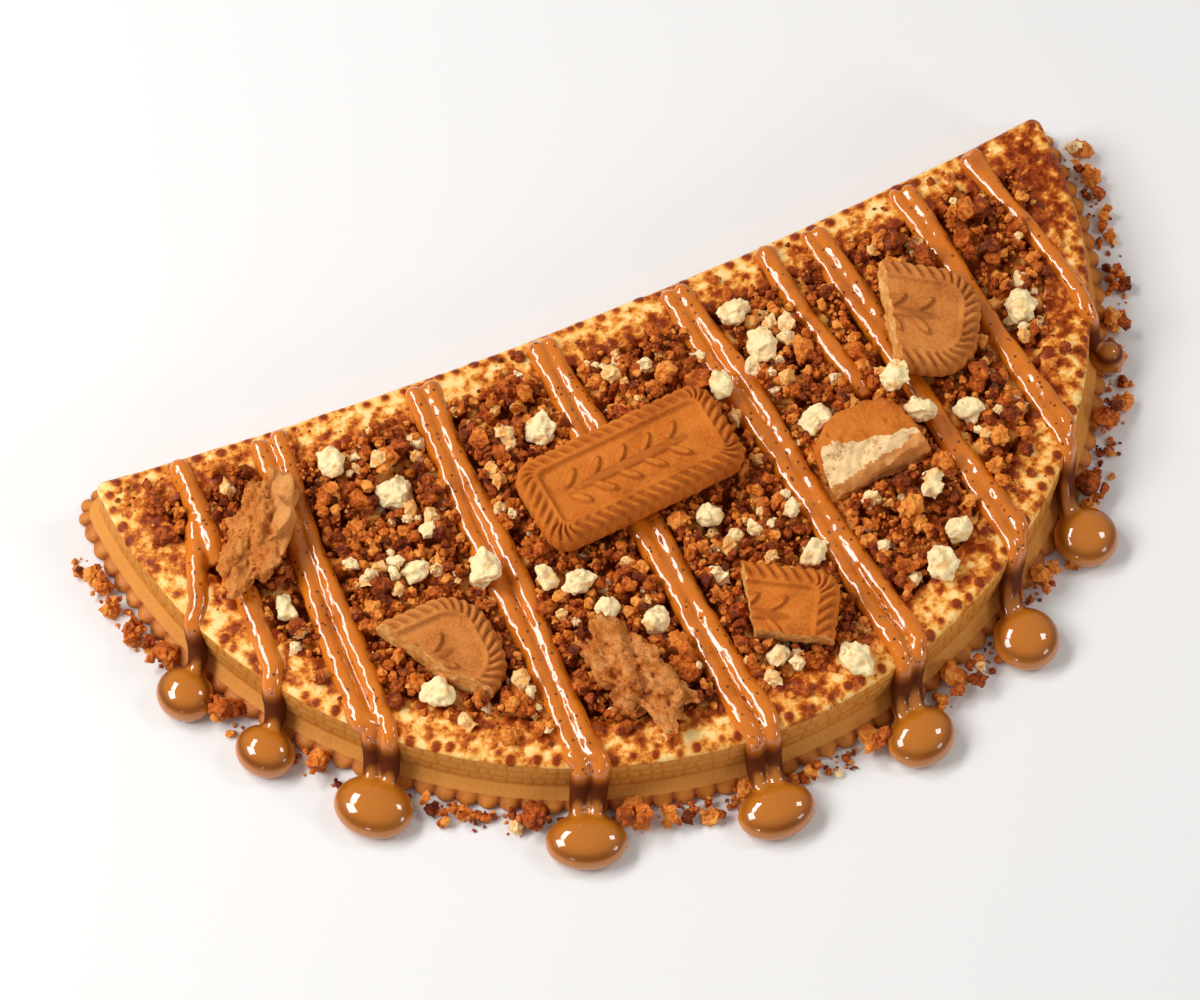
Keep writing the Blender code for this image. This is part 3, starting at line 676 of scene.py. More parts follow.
def top_height(x, y):
    """Height and toasting of the topped side at each place, with painted shade as extra toast in
    the pockets.
    """
    share, bumps = ribs_at(x, y, RIB_FLUTE)
    count = POCKETS.shape[0]
    row = np.clip(np.floor((FIRST_RIB - y) / GRID_PITCH), 0, count - 1).astype(int)
    column = np.clip(np.floor(x / GRID_PITCH) + count, 0, 2 * count - 1).astype(int)
    height = RIB_TOP - POCKETS[row, column] * (1 - share) + BUMP_HEIGHT * bumps
    # The pockets are toasted darker than the ribs as painted shade
    toast = RIB_TOAST + (POCKET_TOAST_AND_SHADE - RIB_TOAST) * (1 - share)
    return height, np.maximum(bumps, toast)


def under_height(x, y):
    """Height and toasting of the underside at each place."""
    share, bumps = ribs_at(x, y, 0.0)
    solid = margin_of(x, y) < RIM_WIDTH
    return np.where(solid, 0.0, BOTTOM_POCKET_DEPTH * (1 - share)), np.zeros_like(bumps)


def grid_slab(cell, height_at, back):
    """One face of the grid, with its cut edge hidden in the rim and a flat back."""
    bm = bmesh.new()
    bmesh.ops.create_grid(bm, x_segments=round(2 * RADIUS / cell),
                          y_segments=round(RADIUS / cell), size=1.0)
    places = np.array([v.co.xy for v in bm.verts])
    x = places[:, 0] * RADIUS
    y = (places[:, 1] - 1) * RADIUS / 2
    heights, bumps = height_at(x, y)
    margins = margin_of(x, y)
    layer = bm.verts.layers.float.new("toast")
    bm.verts.layers.float.new("zone")
    base = bm.verts.layers.float.new("brown")
    outside = []
    for i, vert in enumerate(bm.verts):
        vert.co = (x[i], y[i], heights[i])
        vert[layer] = bumps[i]
        vert[base] = RIB_BROWNING
        if margins[i] < RIM_WIDTH - GRID_OVERLAP:
            outside.append(vert)
    bmesh.ops.delete(bm, geom=outside, context="VERTS")
    border = [e for e in bm.edges if e.is_boundary]
    made = bmesh.ops.extrude_edge_only(bm, edges=border)["geom"]
    for vert in made:
        if isinstance(vert, bmesh.types.BMVert):
            vert.co.z = back
    loop = [e for e in made if isinstance(e, bmesh.types.BMEdge) and e.is_boundary]
    bmesh.ops.edgeloop_fill(bm, edges=loop)
    bmesh.ops.recalc_face_normals(bm, faces=bm.faces)
    return bm


grid = grid_slab(GRID_CELL, top_height, GRID_BACK)
roughen(grid, GRID_ROUGHNESS)
add_piece("waffle_grid", grid, crust)
underside = grid_slab(UNDERSIDE_CELL, under_height, GRID_BACK)
add_piece("waffle_underside", underside, crust)


# Caramel.
# Thick sauce drawn over the waffle in pairs of strands, from the straight edge to the
# arc. The strands of a pair run together, fall over the edge as one neck, and end in a
# round glossy drop on the table.

STREAM_START = -0.0035
STREAM_HEIGHT = 0.0168
STREAM_STEP = 0.0045
STREAM_FRONT_REACH = -0.0036
STRAND_SPREAD = 0.0023
STRANDS_APART = (0.0026, 0.0026, 0.0025, 0.0024, 0.0014, 0.0012, 0.0)
STRAND_WANDER = 0.0007
STRAND_SAG = 0.0004
STRAND_SWELL = (0.07, 0.12)
STRAND_TIP = 0.55
SWAY_LENGTH = 0.024
STRAND_SLIMNESS = 0.93
WEB_WIDTH = 0.55
WEB_LOW = 0.0010
NECK_WEB = 0.5
NECK_CLOSING = 0.18
DROP_HEIGHT = 0.0086
DROP_WIDEST_HEIGHT = 0.0032
# Neck on the wall: share of the way to the drop's middle, how far out as a share of the
# drop's reach, height, share of the strand's radius
NECK = (
    (0.0, -0.09, 0.0164, 0.92), (0.12, 0.02, 0.0150, 0.92), (0.22, 0.07, 0.0125, 0.93),
    (0.45, 0.17, 0.0085, 0.92), (0.75, 0.44, 0.0052, 0.9), (1.0, 0.80, 0.0046, 0.8),
)
# Streams: x of the start, x at the arc, strands, strand radius and the drop, which is its
# x, how far it stands out from the top edge, its radius and its depth as a share of that
STREAMS = (
    (-0.0900, -0.0960, 2, 0.0029, (-0.1030, 0.0136, 0.0103, 0.80)),
    (-0.0480, -0.0510, 2, 0.0029, (-0.0580, 0.0144, 0.0104, 0.72)),
    (-0.0140, -0.0080, 2, 0.0029, (-0.0110, 0.0150, 0.0101, 0.74)),
    (0.0245, 0.0355, 2, 0.0028, (0.0310, 0.0144, 0.0092, 0.84)),
    (0.0650, 0.0740, 2, 0.0026, (0.0675, 0.0136, 0.0086, 1.0)),
    (0.0915, 0.0990, 2, 0.0025, (0.0945, 0.0120, 0.0084, 1.0)),
    (0.1120, 0.1208, 1, 0.0026, (0.1234, 0.0058, 0.0045, 1.0)),
)
# Short runs: both ends, strand radius, and the drop or None
SHORT_RUNS = (
    ((-0.1135, -0.0050), (-0.1150, -0.0350), 0.0030, None),
    ((-0.1165, -0.0220), (-0.1268, -0.0445), 0.0028, (-0.1345, 0.0118, 0.0078, 0.90)),
    ((-0.1122, -0.0450), (-0.1152, -0.0690), 0.0031, (-0.1220, 0.0119, 0.0080, 0.85)),
    ((0.0505, -0.0095), (0.0565, -0.0590), 0.0032, None),
    ((0.1152, -0.0048), (0.1160, -0.0200), 0.0022, None),
)
CARAMEL_VOXEL = 0.00055
CARAMEL_TRIANGLES = 190000
CARAMEL_RIPPLES = ((0.0055, 0.00034), (0.0024, 0.00015))
RIPPLES_FROM = 0.0166
CARAMEL_COLOUR = (0.66, 0.175, 0.008, 1.0)
CARAMEL_DEEP = (0.44, 0.095, 0.004, 1.0)
# Painted shade for the steep neck
CARAMEL_PAINTED_SHADE = (0.105, 0.017, 0.0005, 1.0)
# Painted shade for the drops near the table
CARAMEL_DROP_SHADE = (0.50, 0.155, 0.011, 1.0)
CARAMEL_SPECK = (0.08, 0.018, 0.004, 1.0)
CARAMEL_GRAIN = (0.010, 0.0022)
CARAMEL_LUMPS = (0.0042, 0.0022)
CARAMEL_SPECKS = (0.0019, 0.21, 0.55)
CARAMEL_RELIEF = 0.00022
# Heights between which the top, the painted shade of the drops and the ends of the neck's painted
# shade begin
TOP_FADE = (0.0135, 0.0165)
DROP_SHADE_FADE = (0.0110, 0.0085)
NECK_FOOT_FADE = (0.0045, 0.0070)
NECK_TOP_FADE = (0.0175, 0.0115)
# Upward part of the surface's direction over which the neck's painted shade fades in, from flat to
# upright
STEEP_FADE = (0.96, 0.60)
# Patches that are deeper in colour: where they begin and end, and how strong they are
DEEP_FADE = (0.45, 0.75)
DEEP_SHARE = 0.7
SPECK_SHADE = 0.85
# Weight of the slow lumps and of the grain in the gleams
GLEAM_WEIGHTS = (2.0, 0.4)
# Roughness of the top, and how much more the neck has
CARAMEL_DULLNESS = (0.09, 0.5)
COAT_FADE = (0.9, 0.0)
COAT_MOST = 0.9

sauce_parts = []


def edge_point(x, reach=0.0):
    """The place on the arc, or so far out from it, at this x."""
    return Vector((x, -math.sqrt((RADIUS + reach) ** 2 - x ** 2)))


def strand(points, radii):
    """A smooth tube of sauce through the points."""
    curve = bpy.data.curves.new("strand", "CURVE")
    curve.dimensions = "3D"
    curve.bevel_depth = 1.0
    curve.bevel_resolution = 6
    curve.resolution_u = 5
    curve.use_fill_caps = True
    spline = curve.splines.new("BEZIER")
    spline.bezier_points.add(len(points) - 1)
    for spot, point, radius in zip(spline.bezier_points, points, radii):
        spot.co = point
        spot.radius = radius
        spot.handle_left_type = "AUTO"
        spot.handle_right_type = "AUTO"
    thing = bpy.data.objects.new("strand", curve)
    bpy.context.collection.objects.link(thing)
    sauce_parts.append(thing)


def run_points(start, end, radius, aside, phase, low):
    """Points and radii of a strand on the waffle, wandering and sagging a little."""
    count = max(2, round((end - start).length / STREAM_STEP))
    points = [(start.x + aside, start.y + 0.6 * radius, STREAM_HEIGHT - 0.2 * radius - low)]
    radii = [STRAND_TIP * radius]
    coarse = SWAY_LENGTH / STREAM_STEP
    for i in range(count + 1):
        place = start.lerp(end, i / count)
        sway = aside + STRAND_WANDER * math.sin(1.9 * i / coarse + phase)
        sag = STRAND_SAG * noise.noise((place.x * 90, place.y * 110, phase))
        points.append((place.x + sway, place.y, STREAM_HEIGHT - low + sag))
        swell = STRAND_SWELL[0] * math.sin(2.3 * i / coarse + phase)
        swell += STRAND_SWELL[1] * noise.noise((0.7 * i, phase, 3.0))
        radii.append(radius * (1 + swell))
    return points, radii


def neck_points(edge_x, drop_x, drop_reach, radius, aside, low):
    """Points and radii from the top edge down the wall to the drop."""
    start = math.atan2(*edge_point(edge_x).yx)
    end = math.atan2(*edge_point(drop_x, drop_reach).yx)
    points = []
    radii = []
    for share, out, height, width in NECK:
        reach = RADIUS + out * drop_reach - low
        angle = start + (end - start) * share + aside * (1 - NECK_CLOSING * share) / RADIUS
        points.append((reach * math.cos(angle), reach * math.sin(angle),
                       height - low * (1 - share)))
        radii.append(radius * width)
    return points, radii


def drop(drop_x, drop_reach, radius, depth):
    """A round drop on the table, flatter towards the waffle."""
    bm = bmesh.new()
    bmesh.ops.create_uvsphere(bm, u_segments=56, v_segments=32, radius=radius)
    place = edge_point(drop_x, drop_reach)
    rise = (DROP_HEIGHT - DROP_WIDEST_HEIGHT) / radius
    bmesh.ops.scale(bm, vec=(depth, 1.0, rise), verts=bm.verts)
    turn = Matrix.Rotation(math.atan2(place.y, place.x), 3, "Z")
    bmesh.ops.rotate(bm, matrix=turn, verts=bm.verts)
    bmesh.ops.translate(bm, vec=(*place, DROP_WIDEST_HEIGHT), verts=bm.verts)
    for vert in bm.verts:
        vert.co.z = max(0.0, vert.co.z)
    sauce_parts.append(loose_object("drop", bm))


for number, (start_x, end_x, strands, radius, fall) in enumerate(STREAMS):
    back_edge = -HOLLOW * (1 - (start_x / RADIUS) ** 2)
    start = Vector((start_x, back_edge + STREAM_START))
    end = edge_point(end_x, STREAM_FRONT_REACH)
    lanes = [(0.0, 1.0, 0.0)]
    if strands == 2:
        apart = STRANDS_APART[number]
        lanes = [(-apart, STRAND_SLIMNESS, 0.0), (apart, STRAND_SLIMNESS, 0.0),
                 (0.0, WEB_WIDTH, WEB_LOW)]
    for lane, (aside, width, low) in enumerate(lanes):
        points, radii = run_points(start, end, radius * width, aside, number + 2.0 * lane, low)
        on_wall, wall_radii = neck_points(end_x, fall[0], fall[1], radius * width, aside, low)
        if low:
            wall_radii = [NECK_WEB * size for size in wall_radii]
        strand(points + on_wall, radii + wall_radii)
    drop(*fall)
for number, (start, end, radius, fall) in enumerate(SHORT_RUNS):
    last = Vector(end)
    if fall:
        last = last.normalized() * (RADIUS + STREAM_FRONT_REACH)
    points, radii = run_points(Vector(start), last, radius, 0.0, number, 0.0)
    if fall:
        on_wall, wall_radii = neck_points(end[0], fall[0], fall[1], radius, 0.0, 0.0)
        points += on_wall
        radii += wall_radii
        drop(*fall)
    else:
        radii[-1] = 0.6 * radius
    strand(points, radii)

bpy.context.view_layer.update()
sauce = bmesh.new()
for thing in sauce_parts:
    seen = thing.evaluated_get(bpy.context.evaluated_depsgraph_get())
    sauce.from_mesh(seen.to_mesh())
for thing in sauce_parts:
    bpy.data.objects.remove(thing)


def caramel_material():
    """Caramel sauce: glossy, deeper in colour in patches, with painted shade on its steep necks
    and on its drops near the table, and fine dark specks of biscuit.
    """
    made, tree, shader = new_material("caramel_sauce", Specular_IOR_Level=0.15,
                                      Coat_Roughness=0.02, Coat_IOR=1.65,
                                      Subsurface_Weight=0.10, Subsurface_Scale=0.002,
                                      Subsurface_Radius=(1.0, 0.35, 0.06))
    place = object_place(tree)
    height = height_of(tree, place)
    facing = height_of(tree, add_node(tree, "ShaderNodeNewGeometry").outputs["Normal"])
    patches, grain = grained(tree, place, CARAMEL_GRAIN)
    lumps, _ = grained(tree, place, CARAMEL_LUMPS)
    on_top = between(tree, height, *TOP_FADE)
    # Painted shade falls on the neck where it is steep, between its foot and the top edge
    shaded_neck = times(tree, between(tree, facing, *STEEP_FADE), between(tree, height, *NECK_FOOT_FADE))
    shaded_neck = times(tree, shaded_neck, between(tree, height, *NECK_TOP_FADE))
    deep = times(tree, between(tree, patches, *DEEP_FADE), DEEP_SHARE)
    dots = dotted(tree, place, CARAMEL_SPECKS)
    dots = times(tree, dots, times(tree, on_top, SPECK_SHADE))
    colour = CARAMEL_COLOUR
    # The drops take painted shade near the table, and the neck takes painted shade where it is
    # steep
    for share, look in ((deep, CARAMEL_DEEP), (between(tree, height, *DROP_SHADE_FADE), CARAMEL_DROP_SHADE),
                        (shaded_neck, CARAMEL_PAINTED_SHADE), (dots, CARAMEL_SPECK)):
        colour = blend(tree, share, colour, look)
    relief = times(tree, maths(tree, "ADD", grain, dots), on_top)
    gleams = times(tree, times(tree, lumps, on_top), GLEAM_WEIGHTS[0])
    gleams = weighted(tree, gleams, (relief, GLEAM_WEIGHTS[1]))
    finish_with(tree, shader, colour, gleams, CARAMEL_RELIEF)
    dull = weighted(tree, CARAMEL_DULLNESS[0], (shaded_neck, CARAMEL_DULLNESS[1]))
    tree.links.new(dull, shader.inputs["Roughness"])
    coat = times(tree, between(tree, shaded_neck, *COAT_FADE), COAT_MOST)
    tree.links.new(coat, shader.inputs["Coat Weight"])
    return made


def apply_modifiers(thing):
    """Turn what the object's modifiers make into its own mesh."""
    bpy.context.view_layer.update()
    seen = thing.evaluated_get(bpy.context.evaluated_depsgraph_get())
    mesh = bpy.data.meshes.new_from_object(seen)
    thing.modifiers.clear()
    thing.data = mesh
    return mesh


caramel = add_piece("caramel", sauce, caramel_material())
remesh = caramel.modifiers.new("pool", "REMESH")
remesh.mode = "VOXEL"
remesh.voxel_size = CARAMEL_VOXEL
ease = caramel.modifiers.new("ease", "SMOOTH")
ease.factor = 0.5
ease.iterations = 3
pooled = apply_modifiers(caramel)
rippled = bmesh.new()
rippled.from_mesh(pooled)
before = [v.co.copy() for v in rippled.verts]
roughen(rippled, CARAMEL_RIPPLES)
for vert, place in zip(rippled.verts, before):
    calm = min(1.0, max(0.0, (RIPPLES_FROM - place.z) / 0.001))
    vert.co = vert.co.lerp(place, calm)
    vert.co.z = max(0.0, vert.co.z)
rippled.to_mesh(pooled)
rippled.free()
thinned = caramel.modifiers.new("thinned", "DECIMATE")
thinned.ratio = min(1.0, CARAMEL_TRIANGLES / (2 * len(pooled.polygons)))
apply_modifiers(caramel).shade_smooth()


# Caramelised biscuits.
# Thin rectangular spiced biscuits, pressed with a rope border round a sunk panel. One is
# whole and six are broken, and each lies where its solid lies. A sprig of leaves is
# pressed in the panel.

BISCUIT_LENGTH = 0.057
BISCUIT_WIDTH = 0.0275
WIDE_BISCUIT_WIDTH = 0.0305
BISCUIT_HEIGHT = 0.0078
CORNER_RADIUS = 0.0066
PANEL_CORNER_RADIUS = 0.0024
ROUND_END_RADIUS = 0.0118
FILLED_STRETCH = 1.35
FILLING_FOOT = (0.0052, -0.17)
ROPE_PITCH = 0.0031
ROPE_SLANT = 1.25
ROPE_RELIEF = 0.00125
SIDE_RELIEF = 0.00065
BISCUIT_POINTS = 640
# Sides and border of a biscuit: how far in from its widest outline, height
BISCUIT_PROFILE = (
    (0.0020, 0.0000), (0.0013, 0.0002), (0.0006, 0.0010), (0.0001, 0.0022), (0.0, 0.0035),
    (0.0002, 0.0048), (0.0005, 0.0058), (0.0009, 0.0067), (0.0013, 0.0073), (0.0017, 0.0077),
    (0.0021, 0.0079), (0.0025, 0.0080), (0.0029, 0.0080), (0.0033, 0.0080), (0.0037, 0.0079),
    (0.0041, 0.0078), (0.0045, 0.0078), (0.0048, 0.0079), (0.0051, 0.0080), (0.0054, 0.0079),
    (0.0057, 0.0074), (0.0060, 0.0068), (0.0064, 0.0066),
)
ROPE_SPAN = (0.0001, 0.0049)
PANEL_HEIGHT = 0.0066
DOME_INSET = 0.0018
PANEL_STEP = 0.00038
SPRIG_LEAF = (0.0037, 0.00130)
SPRIG_LEAF_TURN = 42
SPRIG_STEP = 0.0072
SPRIG_SPREAD = 0.0031
SPRIG_PAIRS = 5
SPRIG_STEM = (0.0170, 0.0016)
SPRIG_RELIEF = 0.0011
# Painted shade on the flanks of the sprig's strokes
FLANK_PAINTED_SHADE = 3.4
# Breaks of each kind: a place on the biscuit, the direction of what fell off, and lean
BREAKS = {
    "crescent": (((0.0100, 0.0), 207, 0.12), ((0.0140, -0.0070), 220, 0.12)),
    "end": (((0.0047, 0.0), 195, 0.12),),
    "corner": (((0.0068, 0.0), 197, 0.12), ((0.0150, -0.0045), 271, 0.12)),
    "wedge": (((0.0095, 0.0), 180, 0.12), ((0.0095, 0.0), 163, 1.67)),
}
BLOCK_SIZE = (0.070, 0.080, 0.034)
BREAK_ROUGHNESS = ((0.0060, 0.0006), (0.0018, 0.0004), (0.0008, 0.00025))
# Rough lumps of the inside: half sizes, roughness and seed
LUMPS = {
    "slab": ((0.0170, 0.0085, 0.0050), 0.5, 3.0),
    "lump": ((0.0150, 0.0082, 0.0056), 0.8, 7.0),
}
LUMP_SHRINK = 0.93
LUMP_ROUGHNESS = ((0.0045, 0.0011), (0.0020, 0.0009), (0.0009, 0.0006))
LUMP_PITS = ((0.0023, 0.0015), (0.0011, 0.0008))
SLAB_SIDE = Vector((0.62, -0.72, -0.10))
# Node, kind, middle on the waffle, turn in degrees, half size of its ground, tilt
BISCUITS = (
    ("biscuit_whole", "whole", (-0.0092, -0.0560), 4, (0.0290, 0.0140), (0, 0)),
    ("biscuit_rough_slab", "slab", (-0.1020, -0.0335), 48, (0.0165, 0.0085), (-18, 0)),
    ("biscuit_round_end", "crescent", (-0.0720, -0.0835), 3, (0.0150, 0.0165), (4, 2)),
    ("biscuit_lump", "lump", (-0.0305, -0.1105), -73, (0.0150, 0.0085), (0, 0)),
    ("biscuit_corner", "corner", (0.0118, -0.1062), -33, (0.0130, 0.0095), (14, -3)),
    ("biscuit_pale_break", "wedge", (0.0494, -0.0730), 94, (0.0095, 0.0140), (0, 4)),
    ("biscuit_end", "end", (0.0785, -0.0478), -31, (0.0130, 0.0150), (3, 5)),
)
BISCUIT_BROWN = (0.58, 0.155, 0.016, 1.0)
BISCUIT_LIGHT = (0.70, 0.225, 0.030, 1.0)
BISCUIT_DARK = (0.32, 0.066, 0.006, 1.0)
BROKEN_BROWN = (0.58, 0.195, 0.037, 1.0)
BROKEN_LIGHT = (0.68, 0.270, 0.066, 1.0)
BROKEN_DARK = (0.33, 0.085, 0.014, 1.0)
INSIDE_PALE = (0.86, 0.50, 0.185, 1.0)
INSIDE_TAN = (0.70, 0.29, 0.062, 1.0)
SIDE_TAN = (0.72, 0.33, 0.105, 1.0)
RUBBLE_LIGHT = (0.66, 0.27, 0.066, 1.0)
RUBBLE_TAN = (0.56, 0.175, 0.030, 1.0)
FILLING_PALE = (0.96, 0.66, 0.33, 1.0)
FILLING_TAN = (0.50, 0.21, 0.050, 1.0)
BISCUIT_GRAIN = (0.011, 0.0007)
BISCUIT_PINHOLES = (0.0013, 0.16, 0.16)
BISCUIT_GRAIN_DEPTH = 0.00018
INSIDE_GRAIN = (0.004, 0.0006)
# Holes of the inside: size of their cells and share of a cell, and how many are kept
INSIDE_HOLES = (0.0016, 0.24)
INSIDE_KEPT = 0.45
INSIDE_GRAIN_DEPTH = 0.0003
# Share of the patches and of the grain in a biscuit's tone
TONE_SHARES = (0.6, 0.4)
HOLLOW_BROWNING_AND_SHADE = 0.75
PINHOLE_SHADE = 0.5
HOLE_SHADE = 0.7
# Roughness of a whole surface, and of the filled one
BISCUIT_ROUGHNESS = ((0.0090, 0.00016), (0.0018, 0.00008), (0.0007, 0.00006))
FILLED_ROUGHNESS = ((0.0060, 0.0007), (0.0026, 0.0004), (0.0012, 0.00022))


def rounded_rectangle(length, width, corner, inset):
    """Points round a rounded rectangle moved in by the inset, each with its share of the
    way round the outermost one, so that the rings of a biscuit match."""
    half = (length / 2 - corner, width / 2 - corner)
    arc = math.pi / 2 * corner
    sides = (2 * half[0], 2 * half[1])
    around = 2 * (sides[0] + sides[1]) + 4 * arc
    close = max(corner - inset, min(PANEL_CORNER_RADIUS, 0.9 * (width / 2 - inset)), 0.0002)
    over = min(0.0, corner - inset - close)
    points = []
    shares = []
    gone = 0.0
    for quarter, (sx, sy) in enumerate(((1, 1), (-1, 1), (-1, -1), (1, -1))):
        middle = Vector((sx * (half[0] + over), sy * max(half[1] + over, 0.0001)))
        steps = round(BISCUIT_POINTS * arc / around)
        for i in range(steps):
            angle = math.pi / 2 * (quarter + i / steps)
            points.append(middle + close * Vector((math.cos(angle), math.sin(angle))))
            shares.append((gone + arc * i / steps) / around)
        gone += arc
        nx, ny = ((-1, 1), (-1, -1), (1, -1), (1, 1))[quarter]
        target = Vector((nx * (half[0] + over), ny * max(half[1] + over, 0.0001)))
        angle = math.pi / 2 * (quarter + 1)
        outward = close * Vector((math.cos(angle), math.sin(angle)))
        side = sides[quarter % 2]
        steps = round(BISCUIT_POINTS * side / around)
        for i in range(steps):
            points.append(middle.lerp(target, i / steps) + outward)
            shares.append((gone + side * i / steps) / around)
        gone += side
    return points, shares, around


def sprig_height(point):
    """Relief of the sprig of leaves at a place on the panel."""
    most = 0.0
    length, width = SPRIG_LEAF
    for i in range(SPRIG_PAIRS):
        for side in (-1, 1):
            along = (i - SPRIG_PAIRS / 2 + 0.3) * SPRIG_STEP
            offset = Matrix.Rotation(-math.radians(side * SPRIG_LEAF_TURN), 2) @ (
                point - Vector((along, side * SPRIG_SPREAD)))
            gone = (offset.x / length) ** 2 + (offset.y / width) ** 2
            most = max(most, min(1.0, 1.6 * (1.0 - gone)))
    stem = (point.x / SPRIG_STEM[0]) ** 4 + (point.y / SPRIG_STEM[1]) ** 2
    return SPRIG_RELIEF * max(most, min(0.8, 1.2 * (1.0 - stem)), 0.0)


def biscuit(length, width, corner, pressed=True):
    """A whole biscuit with its base on z = 0, plain and domed unless it is pressed."""
    rows = []
    depths = []
    for inset, height in BISCUIT_PROFILE:
        points, shares, around = rounded_rectangle(length, width, corner, inset)
        ropes = round(around / ROPE_PITCH)
        on_border = min(1.0, max(0.0, (inset - ROPE_SPAN[0]) / (ROPE_SPAN[1] - ROPE_SPAN[0])))
        row = []
        depth = []
        for point, share in zip(points, shares):
            turn = math.cos(math.tau * (share * ropes + ROPE_SLANT * on_border))
            groove = (0.5 - 0.5 * turn) ** 1.4 if pressed else 0.0
            middle = Vector((max(-length / 2 + corner, min(length / 2 - corner, point.x)), 0.0))
            out = (point - middle).normalized()
            strength = math.sin(math.pi * min(1.0, height / PANEL_HEIGHT) / 2)
            place = point - out * SIDE_RELIEF * groove * strength * (1.0 - on_border)
            window = math.sin(math.pi * on_border) ** 0.6 if 0.0 < on_border < 1.0 else 0.0
            # The rope's grooves are darkened through the hollow layer: partly browning, partly
            # painted shade
            depth.append(groove * window if height > PANEL_HEIGHT else 0.0)
            if not pressed and inset > DOME_INSET and height > PANEL_HEIGHT / 2:
                height = BISCUIT_HEIGHT
            row.append((*place, height - ROPE_RELIEF * depth[-1]))
        rows.append(row)
        depths.append(depth)
    inset = BISCUIT_PROFILE[-1][0] + PANEL_STEP
    while inset < width / 2 - 1.5 * PANEL_STEP:
        points, _, _ = rounded_rectangle(length, width, corner, inset)
        if pressed:
            lifts = [sprig_height(p) for p in points]
            rows.append([(*p, PANEL_HEIGHT + lift) for p, lift in zip(points, lifts)])
            # The sprig's flanks take painted shade through the hollow layer
            depths.append([FLANK_PAINTED_SHADE * lift * (SPRIG_RELIEF - lift) / SPRIG_RELIEF ** 2
                           for lift in lifts])
        else:
            rows.append([(*p, BISCUIT_HEIGHT) for p in points])
            depths.append([0.0] * len(points))
        inset += PANEL_STEP
    bm = wrap_sheet(rows)
    layer = bm.verts.layers.float.new("hollow")
    bm.verts.ensure_lookup_table()
    for row, depth in enumerate(depths):
        for i in range(len(depth) + 1):
            bm.verts[row * (len(depth) + 1) + i][layer] = depth[i % len(depth)]
    bmesh.ops.remove_doubles(bm, verts=bm.verts, dist=0.00002)
    holes = [e for e in bm.edges if e.is_boundary]
    bmesh.ops.holes_fill(bm, edges=holes)
    bmesh.ops.recalc_face_normals(bm, faces=bm.faces)
    roughen(bm, BISCUIT_ROUGHNESS)
    return bm


def break_block(place, angle, lean, seed, slot):
    """The block that takes away what fell off, with a rough face where the biscuit broke."""
    bm = bmesh.new()
    bmesh.ops.create_grid(bm, x_segments=150, y_segments=60, size=0.5)
    for vert in bm.verts:
        across = vert.co.x * BLOCK_SIZE[1]
        up = vert.co.y * BLOCK_SIZE[2]
        spot = Vector((across, up, seed))
        deep = sum(depth * noise.noise(spot / size) for size, depth in BREAK_ROUGHNESS)
        vert.co = (deep, across, up)
    made = bmesh.ops.extrude_face_region(bm, geom=bm.faces[:])["geom"]
    for vert in made:
        if isinstance(vert, bmesh.types.BMVert):
            vert.co.x = BLOCK_SIZE[0]
    leaning = Matrix.Rotation(-math.atan(lean), 4, "Y")
    turn = Matrix.Rotation(math.radians(angle), 4, "Z")
    at = Matrix.Translation((*place, BISCUIT_HEIGHT / 2))
    bmesh.ops.transform(bm, matrix=at @ turn @ leaning, verts=bm.verts)
    bmesh.ops.recalc_face_normals(bm, faces=bm.faces)
    for face in bm.faces:
        face.material_index = slot
    return loose_object("break_block", bm)


def break_biscuit(bm, cuts, finishes):
    """Cut the breaks into a biscuit; each broken face takes the next finish."""
    thing = loose_object("biscuit", bm)
    for finish in finishes:
        thing.data.materials.append(finish)
    for number, (place, angle, lean) in enumerate(cuts):
        slot = min(number + 1, len(finishes) - 1)
        block = break_block(place, angle, lean, 0.05 * number + angle * 0.01, slot)
        for finish in finishes:
            block.data.materials.append(finish)
        cut = thing.modifiers.new("break", "BOOLEAN")
        cut.operation = "DIFFERENCE"
        cut.object = block
        apply_modifiers(thing)
        bpy.data.objects.remove(block)
    bm = bmesh.new()
    bm.from_mesh(thing.data)
    bpy.data.objects.remove(thing)
    return bm


def rubble(size, roughness, seed):
    """A rough lump of a biscuit's inside, of the same form as its solid."""
    bm = bmesh.new()
    bmesh.ops.create_icosphere(bm, subdivisions=6, radius=1.0)
    for vert in bm.verts:
        vert.co *= 1 + roughness * noise.noise(vert.co * 2.2 + Vector((seed, seed, 0.0)))
    for face in bm.faces:
        if seed == LUMPS["slab"][2] and face.normal.dot(SLAB_SIDE) > 0.45:
            face.material_index = 1
    bmesh.ops.scale(bm, vec=Vector(size) * LUMP_SHRINK, verts=bm.verts)
    before = [v.co.copy() for v in bm.verts]
    roughen(bm, LUMP_ROUGHNESS, LUMP_PITS)
    for vert, place in zip(bm.verts, before):
        calm = sum(face.material_index for face in vert.link_faces) / len(vert.link_faces)
        vert.co = vert.co.lerp(place, 0.85 * calm)
    return bm


def lay_like(node, bm):
    """Move the mesh so that its box has the middle of the node's box."""
    low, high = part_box(node)
    points = [v.co for v in bm.verts]
    middle = Vector([(min(axis) + max(axis)) / 2 for axis in zip(*points)])
    bmesh.ops.translate(bm, vec=(low + high) / 2 - middle, verts=bm.verts)


def biscuit_tone(tree, patches, grain, shades):
    """Colours of a biscuit that follow its patches and its grain."""
    tone = times(tree, patches, TONE_SHARES[0])
    tone = weighted(tree, tone, (grain, TONE_SHARES[1]))
    return colour_ramp(tree, tone, shades)


